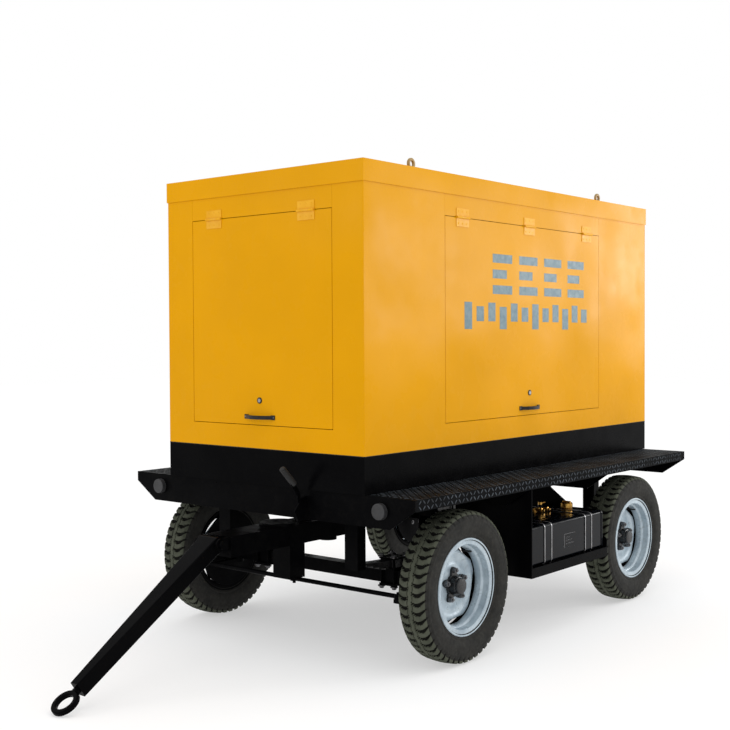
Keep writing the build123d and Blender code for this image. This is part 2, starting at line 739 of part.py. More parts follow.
with BuildPart() as muffler:
    muffler_y = (block_y[0] + 120.0, block_y[0] + 620.0)
    rod_y((exhaust_x, sum(muffler_y) / 2, exhaust_z - 50.0), 90.0, muffler_y[1] - muffler_y[0])
    fillet(muffler.edges().filter_by(GeomType.CIRCLE), 16.0)
    manifold_x = (exhaust_x - 20.0, -block_width / 2 + 45.0 - part_gap)
    block(manifold_x, (muffler_y[0], muffler_y[1] - 60.0), (head_z[0] + 15.0, head_z[0] + 65.0))
    pipe_z = (head_z[0] + 40.0, exhaust_z - 60.0)
    rod_z((exhaust_x, muffler_y[0] + 90.0, sum(pipe_z) / 2), exhaust_radius, pipe_z[1] - pipe_z[0])
    tail_y = (muffler_y[1] - 40.0, rear_y)
    rod_y((exhaust_x, sum(tail_y) / 2, exhaust_z), exhaust_radius, tail_y[1] - tail_y[0])
    rod_y((exhaust_x, tail_y[1] - 150.0, exhaust_z), exhaust_radius - 4.0, 300.0, Mode.SUBTRACT)
save(muffler, "muffler")

with BuildPart() as battery_tray:
    tray_z = (deck_top + base_wall, deck_top + base_wall + 3.0)
    battery_y = (along(900.0), along(1230.0))
    tray_x = (bearer_offset + bearer_width / 2 + part_gap, half_width - base_wall - part_gap)
    block(tray_x, (battery_y[0] - 12, battery_y[1] + 12), tray_z)
with BuildPart() as battery_case:
    battery_x = (tray_x[0] + battery_bearer_room, half_width - base_rim - battery_rim_room)
    block(battery_x, battery_y, (tray_z[1] + part_gap, tray_z[1] + 215.0))
    fillet(battery_case.edges().filter_by(Axis.Z), 8.0)
    for post_y in (battery_y[0] + 45.0, battery_y[1] - 45.0):
        rod_z((battery_x[0] + battery_post_inset, post_y, tray_z[1] + 222.0), 9.0, 18.0)
with BuildPart() as battery:
    add([battery_tray.part, battery_case.part])
save(battery, "battery")

# ---------------------------------------------------------------- control box
control_y = (along(130.0), along(400.0))
control_z = (1330.0, 1830.0)
control_half = bearer_offset + 20.0
button_at = (210.0, control_z[1] - 330.0)
key_at = (110.0, control_z[1] - 330.0)
toggle_at = (-170.0, control_z[1] - 330.0)
button_shaft = 9.0
key_radius = 8.0
toggle_radius = 9.0
toggle_width = 40.0
with BuildPart() as control_box:
    # a sheet enclosure, open at its back
    block((-control_half, control_half), control_y, control_z)
    block(
        (sheet - control_half, control_half - sheet),
        (control_y[0] + sheet, control_y[1] + 1),
        (control_z[0] + sheet, control_z[1] - sheet),
        mode=Mode.SUBTRACT,
    )
    for side in (-1, 1):
        leg = (side * bearer_offset - 20.0, side * bearer_offset + 20.0)
        block(leg, (control_y[0] + 40, control_y[1] - 40), (bearer_top, control_z[0]))
    # sockets behind the panel for the button, the key and the breaker's toggle
    rod_y((button_at[0], control_y[0] + 20.0, button_at[1]), button_shaft + 6.0, 38.0)
    rod_y((button_at[0], control_y[0], button_at[1]), button_shaft + running_gap, 70.0, Mode.SUBTRACT)
    rod_y((key_at[0], control_y[0] + 14.0, key_at[1]), key_radius + 5.0, 26.0)
    rod_y((key_at[0], control_y[0], key_at[1]), key_radius + running_gap, 50.0, Mode.SUBTRACT)
    slot_x = (toggle_at[0] - toggle_width / 2 - 0.5, toggle_at[0] + toggle_width / 2 + 0.5)
    slot_z = (toggle_at[1] - 26.0, toggle_at[1] + 26.0)
    housing_x = (slot_x[0] - sheet, slot_x[1] + sheet)
    housing_z = (slot_z[0] - sheet, slot_z[1] + sheet)
    block(housing_x, (control_y[0], control_y[0] + 27.0), housing_z)
    block(slot_x, (control_y[0] - 1, control_y[0] + 24.0), slot_z, mode=Mode.SUBTRACT)
save(control_box, "control_box")

with BuildPart() as estop_button:
    rod_y((button_at[0], control_y[0] + 5.0, button_at[1]), button_shaft, 40.0)
    rod_y((button_at[0], control_y[0] - 22.0, button_at[1]), 22.0, 16.0)
    fillet(estop_button.edges().group_by(Axis.Y)[0], 5.0)
save(estop_button, "estop_button")

with BuildPart() as key_switch:
    rod_y((key_at[0], control_y[0] + 6.0, key_at[1]), key_radius, 28.0)
    block(
        (key_at[0] - 2.0, key_at[0] + 2.0),
        (control_y[0] - 34.0, control_y[0] - 6.0),
        (key_at[1] - 13.0, key_at[1] + 13.0),
    )
save(key_switch, "key_switch")

with BuildPart() as breaker_toggle:
    toggle_y = control_y[0] + 12.0
    rod_x((toggle_at[0], toggle_y, toggle_at[1]), toggle_radius, toggle_width)
    block(
        (toggle_at[0] - toggle_width / 2, toggle_at[0] + toggle_width / 2),
        (toggle_y - 36.0, toggle_y),
        (toggle_at[1] - 6.0, toggle_at[1] + 6.0),
    )
save(breaker_toggle, "breaker_toggle")

# ---------------------------------------------------------------- fuel tank on its tray
tank_x = (tank_face - tank_depth, tank_face)
tank_y = (along(tank_middle) - tank_length / 2, along(tank_middle) + tank_length / 2)
tank_z = (tank_bottom, tank_bottom + tank_height)
cap_at = (tank_face - 185.0, tank_y[1] - 64.0)
cock_at = (tank_face - 265.0, tank_y[1] - 214.0)
neck_radius = 24.0
tank_wall = 4.0
with BuildPart() as fuel_tank:
    block(tank_x, tank_y, tank_z)
    fillet(fuel_tank.edges().filter_by(Axis.Y), tank_corner)
    fillet(fuel_tank.edges().group_by(Axis.Y)[0] + fuel_tank.edges().group_by(Axis.Y)[-1], 4.0)
    rod_z((*cap_at, tank_z[1] + 10.0), neck_radius, 28.0)
    rod_z((*cock_at, tank_z[1] + 14.0), 13.0, 36.0)
    block(
        (tank_x[0] + tank_wall, tank_x[1] - tank_wall),
        (tank_y[0] + tank_wall, tank_y[1] - tank_wall),
        (tank_z[0] + tank_wall, tank_z[1] - tank_wall),
        mode=Mode.SUBTRACT,
    )
    rod_z((*cap_at, tank_z[1] + 10.0), neck_radius - 5.0, 40.0, Mode.SUBTRACT)
save(fuel_tank, "fuel_tank")

with BuildPart() as fuel_cap:
    cap_z = (tank_z[1] + 8.0, tank_z[1] + 34.0)
    rod_z((*cap_at, sum(cap_z) / 2), neck_radius + 9.0, cap_z[1] - cap_z[0])
    chamfer(fuel_cap.edges().group_by(Axis.Z)[-1], 3.0)
    rod_z((*cap_at, cap_z[0] + 8.0), neck_radius + part_gap, 17.0, Mode.SUBTRACT)
    block(
        (cap_at[0] - 24.0, cap_at[0] + 24.0), (cap_at[1] - 5.0, cap_at[1] + 5.0), (cap_z[1], cap_z[1] + 9.0)
    )
save(fuel_cap, "fuel_cap")

with BuildPart() as fuel_cock_lever:
    cock_z = tank_z[1] + 32.0 + part_gap
    rod_z((*cock_at, cock_z + 7.0), 11.0, 14.0)
    handle_x = (cock_at[0] - 6.0, cock_at[0] + 6.0)
    block(handle_x, (cock_at[1], cock_at[1] + 46.0), (cock_z + 5.0, cock_z + 11.0))
save(fuel_cock_lever, "fuel_cock_lever")

tray_x = (tank_x[0], deck_half_width - tread_height - deck_plate - 2.0)
tray_y = (tank_y[0] - tray_margin, tank_y[1] + tray_margin)
with BuildPart() as tank_tray:
    tray_z = (tank_z[0] - tray_edge, tank_z[0])
    box_tube(tray_x, tray_y, tray_z, tray_edge, "z")
    rail_face = rail_offset + rail_width / 2 + part_gap
    gusset_tops = {
        tray_y[0]: [(rail_face, deck_bottom - part_gap), (tray_x[1], deck_bottom - part_gap)],
        tray_y[1] + tray_sheet: [
            (rail_offset, rail_bottom),
            (rail_offset + 130.0, rail_bottom),
            (tray_x[1], tray_z[1] + 44.0),
        ],
    }
    for gusset_y, top_points in gusset_tops.items():
        with BuildSketch(upright(gusset_y)):
            with BuildLine():
                Polyline(
                    *top_points,
                    (tray_x[1], tray_z[0]),
                    (tray_x[0] + 40.0, tray_z[0]),
                    (top_points[0][0], tray_z[1] + 120.0),
                    close=True,
                )
            make_face()
        extrude(amount=tray_sheet)
save(tank_tray, "tank_tray")

# ---------------------------------------------------------------- steering tongue and drawbar
hinge_y = along(-hinge_ahead)
tie_rod_y = front_axle_y - steering_arm
bar_plane = Plane(
    origin=(0, hinge_y, hinge_height),
    x_dir=(1, 0, 0),
    z_dir=(0, -sin(drawbar_pitch), cos(drawbar_pitch)),
)
bar_half = drawbar_height / 2
ear_inner = drawbar_rear_width / 2 + 2.0
ear_outer = ear_inner + ear_sheet
tongue_z = (tongue_top - tongue_height, tongue_top)
tongue_y = (hinge_y + bar_half + 10.0, front_axle_y + 78.0)
with BuildPart() as tongue_body:
    box_tube((-tongue_half_width, tongue_half_width), tongue_y, tongue_z, tongue_wall, "y")
    block((-tongue_half_width, tongue_half_width), (tongue_y[0], tongue_y[0] + tongue_wall), tongue_z)
    for side in (-1, 1):
        ear_x = sorted((side * ear_inner, side * ear_outer))
        block(ear_x, (hinge_y, tongue_y[0] + 4.0), (hinge_height - 30.0, hinge_height + 30.0))
        rod_x((side * (ear_inner + ear_outer) / 2, hinge_y, hinge_height), 30.0, ear_sheet)
    rod_x((0, hinge_y, hinge_height), drawbar_pin_radius + 0.1, 400.0, Mode.SUBTRACT)
    # boss that turns on the chassis pin
    boss_z = (tongue_z[0], rail_bottom - 28.0)
    rod_z((0, front_axle_y, sum(boss_z) / 2), pivot_radius + 20.0, boss_z[1] - boss_z[0])
    rod_z((0, front_axle_y, sum(boss_z) / 2), pivot_radius + running_gap, 200.0, Mode.SUBTRACT)
    # guide disc under the front of the chassis
    rod_z((0, along(125.0), tongue_top + 7.0), guide_disc_radius, 14.0)
    # drop arm down to the middle of the tie rod
    eye_top = tie_rod_height + rod_eye_height / 2
    arm_y = (tie_rod_y - 90.0, tie_rod_y + 16.0)
    block((-drop_arm_half_width, drop_arm_half_width), arm_y, (eye_top + 4.0, tongue_z[0] + 4.0))
    stud_z = (tie_rod_height - rod_eye_height / 2 - 12.0, eye_top + 6.0)
    rod_z((0, tie_rod_y, sum(stud_z) / 2), ball_stud_radius, stud_z[1] - stud_z[0])
with BuildPart() as hinge_pin_part:
    pin_half = ear_outer + 12.0
    rod_x((0, hinge_y, hinge_height), drawbar_pin_radius, 2 * pin_half)
    rod_x((pin_half, hinge_y, hinge_height), drawbar_pin_radius + 7.0, 10.0)
    rod_x((-pin_half, hinge_y, hinge_height), drawbar_pin_radius + 7.0, 10.0)
with BuildPart() as steering_tongue:
    add([tongue_body.part, hinge_pin_part.part])
save(steering_tongue, "steering_tongue")

bar_end = hinge_to_eye - eye_bore_radius - eye_ring - eye_shank
with BuildPart() as drawbar:
    with BuildSketch(bar_plane.offset(-bar_half)):
        with BuildLine():
            Polyline(
                (-drawbar_rear_width / 2, 0),
                (drawbar_rear_width / 2, 0),
                (drawbar_front_width / 2, -bar_end),
                (-drawbar_front_width / 2, -bar_end),
                close=True,
            )
        make_face()
    extrude(amount=drawbar_height)
    fillet(drawbar.edges().filter_by(GeomType.LINE).group_by(SortBy.LENGTH)[-1], 5.0)
    rod_x((0, hinge_y, hinge_height), bar_half, drawbar_rear_width)
    rod_x((0, hinge_y, hinge_height), drawbar_pin_radius + running_gap, 400.0, Mode.SUBTRACT)
save(drawbar, "drawbar")

with BuildPart(bar_plane) as towing_eye:
    with Locations((0, -hinge_to_eye, 0)):
        Cylinder(eye_bore_radius + eye_ring, eye_ring)
        Cylinder(eye_bore_radius, eye_ring, mode=Mode.SUBTRACT)
    fillet(towing_eye.edges().filter_by(GeomType.CIRCLE), eye_round)
    shank_end = -hinge_to_eye + eye_bore_radius + eye_ring / 2
    block((-17.0, 17.0), (shank_end, -bar_end), (-9.0, 9.0))
save(towing_eye, "towing_eye")

with BuildPart() as tie_rod:
    rod_x((0, tie_rod_y, tie_rod_height), tie_rod_radius, 2 * kingpin_offset)
    for offset in (-kingpin_offset, 0, kingpin_offset):
        rod_z((offset, tie_rod_y, tie_rod_height), rod_eye_radius, rod_eye_height)
    for offset in (-kingpin_offset, 0, kingpin_offset):
        eye_at = (offset, tie_rod_y, tie_rod_height)
        rod_z(eye_at, ball_stud_radius + running_gap, 2 * rod_eye_height, Mode.SUBTRACT)
save(tie_rod, "tie_rod")

# ---------------------------------------------------------------- axles
boss_height = axle_beam + 4.0
seat_z = (beam_top, beam_top + seat_pad)


def axle_beam_tube(half_length, y):
    """A square axle tube with its two spring seats."""
    section = (-axle_beam / 2, axle_beam / 2)
    beam_y = (y + section[0], y + section[1])
    beam_z = (axle_height + section[0], axle_height + section[1])
    box_tube((-half_length, half_length), beam_y, beam_z, axle_wall, "x")
    for side in (-1, 1):
        pad_x = (side * rail_offset - spring_width / 2, side * rail_offset + spring_width / 2)
        block(pad_x, (y - 45.0, y + 45.0), seat_z)


with BuildPart() as front_axle:
    beam_half = kingpin_offset - 60.0
    axle_beam_tube(beam_half, front_axle_y)
    for side in (-1, 1):
        end_x = sorted((side * (beam_half - 4.0), side * (kingpin_offset - 10.0)))
        block(end_x, (front_axle_y - 26, front_axle_y + 26), (axle_height - 28, axle_height + 28))
        rod_z((side * kingpin_offset, front_axle_y, axle_height), kingpin_boss, boss_height)
        king_at = (side * kingpin_offset, front_axle_y, axle_height)
        rod_z(king_at, kingpin_radius + running_gap, 2 * boss_height, Mode.SUBTRACT)
save(front_axle, "front_axle")

drum_face = track_half - disc_setback - disc_sheet
drum_back = drum_face - drum_depth
backplate = 6.0
stub_end = track_half + hub_reach - 14.0
with BuildPart() as rear_axle:
    axle_beam_tube(drum_back - 8.0, rear_axle_y)
    for side in (-1, 1):
        plate_x = side * (drum_back - 2.0 - backplate / 2)
        rod_x((plate_x, rear_axle_y, axle_height), drum_radius - 3.0, backplate)
        stub_x = (drum_back - 8.0 - axle_wall, stub_end)
        stub_at = (side * sum(stub_x) / 2, rear_axle_y, axle_height)
        rod_x(stub_at, stub_radius, stub_x[1] - stub_x[0])
save(rear_axle, "rear_axle")

ear_high = axle_height + boss_height / 2 + knuckle_gap
ear_low = axle_height - boss_height / 2 - knuckle_gap
for side, side_name in ((1, "left"), (-1, "right")):
    with BuildPart() as knuckle:
        for ear_z in ((ear_high, ear_high + knuckle_ear), (ear_low - knuckle_ear, ear_low)):
            ear_at = (side * kingpin_offset, front_axle_y, sum(ear_z) / 2)
            rod_z(ear_at, kingpin_boss, knuckle_ear)
            neck_x = sorted((side * kingpin_offset, side * (kingpin_offset + 44.0)))
            block(neck_x, (front_axle_y - kingpin_boss, front_axle_y + kingpin_boss), ear_z)
        king_at = (side * kingpin_offset, front_axle_y, axle_height)
        rod_z(king_at, kingpin_radius, boss_height + 2 * (knuckle_ear + knuckle_gap) + 8.0)
        web_x = sorted((side * (kingpin_offset + 36.0), side * (drum_back - 2.0 - backplate)))
        web_z = (ear_low - knuckle_ear, ear_high + knuckle_ear)
        block(web_x, (front_axle_y - 38.0, front_axle_y + 38.0), web_z)
        plate_x = side * (drum_back - 2.0 - backplate / 2)
        rod_x((plate_x, front_axle_y, axle_height), drum_radius - 3.0, backplate)
        stub_x = (drum_back - 2.0 - backplate, stub_end)
        stub_at = (side * sum(stub_x) / 2, front_axle_y, axle_height)
        rod_x(stub_at, stub_radius, stub_x[1] - stub_x[0])
        # steering arm forward to the tie rod, with its ball stud
        arm_x = (side * kingpin_offset - 16.0, side * kingpin_offset + 16.0)
        arm_top = tie_rod_height - rod_eye_height / 2 - 2.0
        arm_z = (ear_low - knuckle_ear, min(arm_top, ear_low))
        block(arm_x, (tie_rod_y - 16.0, front_axle_y), arm_z)
        stud_z = (arm_z[0], tie_rod_height + rod_eye_height / 2 + 10.0)
        stud_at = (side * kingpin_offset, tie_rod_y, sum(stud_z) / 2)
        rod_z(stud_at, ball_stud_radius, stud_z[1] - stud_z[0])
    save(knuckle, f"knuckle_{side_name}")

# ---------------------------------------------------------------- leaf springs and their fittings
leaf_pitch = leaf_thickness + leaf_gap
main_leaf_z = seat_z[1] + part_gap + (leaf_count - 1) * leaf_pitch + leaf_thickness / 2
spring_radius = (spring_half_length**2 + spring_camber**2) / (2 * spring_camber)
arc_centre_z = main_leaf_z + spring_radius
spring_eye_z = main_leaf_z + spring_camber
spring_places = [(side, y) for y in (front_axle_y, rear_axle_y) for side in (-1, 1)]


def arc_point(y, radius, reach):
    """The point of a leaf's arc that is this far along the trailer from the axle."""
    return (y + reach, arc_centre_z - (radius**2 - reach**2) ** 0.5)


leaves = []
for side, y in spring_places:
    side_plane = Plane(
        origin=(side * rail_offset - spring_width / 2, 0, 0), x_dir=(0, 1, 0), z_dir=(1, 0, 0)
    )
    for i in range(leaf_count):
        low_radius = spring_radius + leaf_thickness / 2 + i * leaf_pitch
        high_radius = low_radius - leaf_thickness
        reach = spring_half_length - i * leaf_step
        with BuildPart() as leaf:
            with BuildSketch(side_plane):
                with BuildLine():
                    low = [arc_point(y, low_radius, r) for r in (-reach, 0, reach)]
                    high = [arc_point(y, high_radius, r) for r in (reach, 0, -reach)]
                    ThreePointArc(*low)
                    Line(low[2], high[0])
                    ThreePointArc(*high)
                    Line(high[2], low[0])
                make_face()
                if i == 0:
                    with Locations(*[(y + end * spring_half_length, spring_eye_z) for end in (-1, 1)]):
                        Circle(spring_eye_radius)
                        Circle(spring_pin_radius + part_gap, mode=Mode.SUBTRACT)
            extrude(amount=spring_width)
        leaves.append(leaf.part)
with BuildPart() as leaf_springs:
    add(leaves)
save(leaf_springs, "leaf_springs")

clamp_bolt = 6.0
with BuildPart() as spring_fittings:
    for side, y in spring_places:
        x = side * rail_offset
        for end in (-1, 1):
            eye_y = y + end * spring_half_length
            cheek_z = (spring_eye_z - 26.0, rail_bottom)
            for cheek in (-1, 1):
                inner_face = x + cheek * (spring_width / 2 + 0.5)
                cheek_x = sorted((inner_face, inner_face + cheek * 9.0))
                block(cheek_x, (eye_y - 30.0, eye_y + 30.0), cheek_z)
            block((x - 32.0, x + 32.0), (eye_y - 30.0, eye_y + 30.0), (rail_bottom - 60.0, rail_bottom))
            back = sorted((eye_y + end * 24.0, eye_y + end * 30.0))
            block((x - 32.0, x + 32.0), back, cheek_z)
            rod_x((x, eye_y, spring_eye_z), spring_pin_radius, spring_width + 34.0)
        # clamp plates above the spring and below the axle, joined by four bolts
        clamp_rise = 52.0**2 / (2 * spring_radius)
        top_z = main_leaf_z + leaf_thickness / 2 + part_gap + clamp_rise
        low_z = axle_height - axle_beam / 2 - part_gap
        block((x - 48.0, x + 48.0), (y - 52.0, y + 52.0), (top_z, top_z + 10.0))
        block((x - 48.0, x + 48.0), (y - 52.0, y + 52.0), (low_z - 10.0, low_z))
        for bolt_x in (x - 39.0, x + 39.0):
            for bolt_y in (y - 43.0, y + 43.0):
                bolt_z = (low_z - 24.0, top_z + 24.0)
                rod_z((bolt_x, bolt_y, sum(bolt_z) / 2), clamp_bolt, bolt_z[1] - bolt_z[0])
save(spring_fittings, "spring_fittings")

# ---------------------------------------------------------------- wheels
wheel_places = {
    "front_left": (1, front_axle_y),
    "front_right": (-1, front_axle_y),
    "rear_left": (1, rear_axle_y),
    "rear_right": (-1, rear_axle_y),
}
bead = rim_seat_radius + part_gap
flange_clear = rim_flange_radius + 1.5
tyre_side = tyre_width / 2
bead_half = rim_half_width - rim_sheet - part_gap
disc_outer = -disc_setback
disc_inner = -disc_setback - disc_sheet
well_radius = rim_seat_radius - 24.0
for corner, (side, y) in wheel_places.items():
    centre = Vector(side * track_half, y, axle_height)
    profile_plane = Plane(origin=centre, x_dir=(0, 0, 1), z_dir=(0, side, 0))
    wheel_plane = Plane(origin=centre, x_dir=(0, 0, 1), z_dir=(side, 0, 0))
    spin_axis = Axis(centre, (side, 0, 0))

    with BuildPart() as tyre:
        with BuildSketch(profile_plane):
            with BuildLine():
                Polyline(
                    (flange_clear, -bead_half),
                    (bead, -bead_half),
                    (bead, bead_half),
                    (flange_clear, bead_half),
                )
                Spline(
                    (flange_clear, bead_half),
                    (flange_clear + 14.0, tyre_side - 9.0),
                    (bead + 82.0, tyre_side - 1.0),
                    (tyre_radius - 22.0, tyre_side - 7.0),
                )
                Polyline(
                    (tyre_radius - 22.0, tyre_side - 7.0),
                    (tyre_radius - 5.0, tyre_side - 17.0),
                    (tyre_radius, tyre_side - 30.0),
                    (tyre_radius, 30.0 - tyre_side),
                    (tyre_radius - 5.0, 17.0 - tyre_side),
                    (tyre_radius - 22.0, 7.0 - tyre_side),
                )
                Spline(
                    (tyre_radius - 22.0, 7.0 - tyre_side),
                    (bead + 82.0, 1.0 - tyre_side),
                    (flange_clear + 14.0, 9.0 - tyre_side),
                    (flange_clear, -bead_half),
                )
            make_face()
        revolve(axis=spin_axis)
        # air space, open to the rim
        with BuildSketch(profile_plane):
            with BuildLine():
                Polyline(
                    (bead - 1.0, 18.0 - bead_half),
                    (bead - 1.0, bead_half - 18.0),
                    (bead + 84.0, tyre_side - 16.0),
                    (tyre_radius - 38.0, tyre_side - 30.0),
                    (tyre_radius - 26.0, 0),
                    (tyre_radius - 38.0, 30.0 - tyre_side),
                    (bead + 84.0, 16.0 - tyre_side),
                    close=True,
                )
            make_face()
        revolve(axis=spin_axis, mode=Mode.SUBTRACT)
    save(tyre, f"tyre_{corner}")

    with BuildPart() as rim:
        with BuildSketch(profile_plane):
            with BuildLine():
                Polyline(
                    (rim_flange_radius, rim_half_width),
                    (rim_flange_radius, rim_half_width - rim_sheet),
                    (rim_seat_radius, rim_half_width - rim_sheet),
                    (rim_seat_radius, 30.0),
                    (well_radius, 18.0),
                    (well_radius, -18.0),
                    (rim_seat_radius, -30.0),
                    (rim_seat_radius, rim_sheet - rim_half_width),
                    (rim_flange_radius, rim_sheet - rim_half_width),
                    (rim_flange_radius, -rim_half_width),
                    (rim_seat_radius - rim_sheet, -rim_half_width),
                    (rim_seat_radius - rim_sheet, -32.0),
                    (well_radius - rim_sheet, -20.0),
                    (well_radius - rim_sheet, disc_inner),
                    (hub_radius + 1.0, disc_inner),
                    (hub_radius + 1.0, disc_outer),
                    (well_radius - rim_sheet, disc_outer),
                    (well_radius - rim_sheet, 20.0),
                    (rim_seat_radius - rim_sheet, 32.0),
                    (rim_seat_radius - rim_sheet, rim_half_width),
                    close=True,
                )
            make_face()
        revolve(axis=spin_axis)
        with Locations(wheel_plane.offset((disc_outer + disc_inner) / 2)):
            with PolarLocations(well_radius - 22.0, stud_count, start_angle=36.0):
                Box(22.0, 66.0, 4 * disc_sheet, mode=Mode.SUBTRACT)
            with PolarLocations(stud_circle / 2, stud_count):
                Cylinder(stud_radius + 0.5, 4 * disc_sheet, mode=Mode.SUBTRACT)
    save(rim, f"rim_{corner}")

    hub_back = disc_inner - part_gap - drum_depth
    with BuildPart() as hub_body:
        with BuildSketch(profile_plane):
            with BuildLine():
                Polyline(
                    (stub_radius + running_gap, hub_back),
                    (drum_radius, hub_back),
                    (drum_radius, disc_inner - part_gap - 10.0),
                    (drum_radius - 12.0, disc_inner - part_gap),
                    (hub_radius, disc_inner - part_gap),
                    (hub_radius, disc_outer + 24.0),
                    (hub_radius - 14.0, hub_reach - 16.0),
                    (hub_radius - 18.0, hub_reach),
                    (0, hub_reach),
                    (0, hub_reach - 12.0),
                    (stub_radius + running_gap, hub_reach - 12.0),
                    close=True,
                )
            make_face()
        revolve(axis=spin_axis)
    with BuildPart() as studs_and_nuts:
        with BuildSketch(wheel_plane.offset(disc_outer + part_gap)):
            with PolarLocations(stud_circle / 2, stud_count):
                RegularPolygon(nut_across / 2, 6, major_radius=False)
        extrude(amount=nut_height)
        with Locations(wheel_plane.offset(disc_outer + part_gap)):
            with PolarLocations(stud_circle / 2, stud_count):
                with Locations((0, 0, (nut_height + 8.0 - disc_sheet) / 2)):
                    Cylinder(stud_radius, nut_height + 8.0 + disc_sheet)
    with BuildPart() as hub:
        add([hub_body.part, studs_and_nuts.part])
    save(hub, f"hub_{corner}")

# ---------------------------------------------------------------- hand brake lever
lever_plane = Plane(origin=(brake_lever_offset - 4.0, 0, 0), x_dir=(0, 1, 0), z_dir=(1, 0, 0))
lever_foot = (brake_pivot[1], brake_pivot[2])
lever_bend = (lever_foot[0] - 6.0, lever_foot[1] + 112.0)
grip_start = (lever_foot[0] - 30.0, lever_foot[1] + 150.0)
grip_end = (lever_foot[0] - 112.0, lever_foot[1] + 232.0)
with BuildPart() as handbrake_lever:
    with BuildSketch(lever_plane):
        with BuildLine():
            FilletPolyline(lever_foot, lever_bend, grip_end, radius=60.0)
        trace(line_width=18.0)
        with Locations(lever_foot):
            Circle(22.0)
    extrude(amount=8.0)
    grip_way = Vector(0, grip_end[0] - grip_start[0], grip_end[1] - grip_start[1])
    grip_origin = (brake_lever_offset, *grip_start)
    with BuildSketch(Plane(origin=grip_origin, x_dir=(1, 0, 0), z_dir=grip_way)):
        Circle(14.0)
    extrude(amount=grip_way.length)
    rod_x(brake_pivot, brake_pivot_radius + running_gap, 60.0, Mode.SUBTRACT)
save(handbrake_lever, "handbrake_lever")

# ---------------------------------------------------------------- marker lamps
with BuildPart() as marker_lamps:
    for plate_y, way in ((front_plate_y, -1), (rear_plate_y, 1)):
        for side in (-1, 1):
            lamp_at = (side * lamp_offset, plate_y + way * lamp_reach / 2, lamp_height)
            rod_y(lamp_at, lamp_radius, lamp_reach)
save(marker_lamps, "marker_lamps")
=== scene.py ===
"""Towable diesel generator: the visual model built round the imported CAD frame."""
from math import cos, pi, radians, sin, sqrt

import bmesh
import bpy
from mathutils import Matrix, Vector


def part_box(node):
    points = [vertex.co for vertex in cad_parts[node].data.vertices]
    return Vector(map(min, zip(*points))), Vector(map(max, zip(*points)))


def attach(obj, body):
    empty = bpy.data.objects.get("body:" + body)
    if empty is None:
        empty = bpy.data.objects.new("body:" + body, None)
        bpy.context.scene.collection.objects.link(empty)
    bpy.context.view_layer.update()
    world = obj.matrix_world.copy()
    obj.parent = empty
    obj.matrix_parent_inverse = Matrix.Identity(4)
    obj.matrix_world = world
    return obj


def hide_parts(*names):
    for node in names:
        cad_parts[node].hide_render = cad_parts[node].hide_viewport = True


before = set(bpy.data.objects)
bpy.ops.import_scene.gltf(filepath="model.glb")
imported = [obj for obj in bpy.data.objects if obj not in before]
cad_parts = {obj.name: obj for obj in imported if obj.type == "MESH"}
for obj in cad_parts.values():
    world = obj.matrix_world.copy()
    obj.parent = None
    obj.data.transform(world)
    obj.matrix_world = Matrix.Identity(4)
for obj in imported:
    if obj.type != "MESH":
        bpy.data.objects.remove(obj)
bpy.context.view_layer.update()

# ------------------------------------------------------------------ places read from the frame
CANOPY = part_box("canopy_shell")
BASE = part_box("base_frame")
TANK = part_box("fuel_tank")
FRONT_Y = CANOPY[0][1]
REAR_Y = CANOPY[1][1]
SIDE_X = CANOPY[1][0]
DECK_TOP = BASE[0][2]
CORNERS = ("front_left", "front_right", "rear_left", "rear_right")


def middle(node):
    low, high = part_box(node)
    return Vector([(low[i] + high[i]) / 2 for i in range(3)])


# ------------------------------------------------------------------ materials
def linear(red, green, blue):
    """Screen colour, 0 to 255, as the linear colour that Blender works in."""
    channels = [c / 255 for c in (red, green, blue)]
    channels = [c / 12.92 if c <= 0.04045 else ((c + 0.055) / 1.055) ** 2.4 for c in channels]
    return (*channels, 1.0)


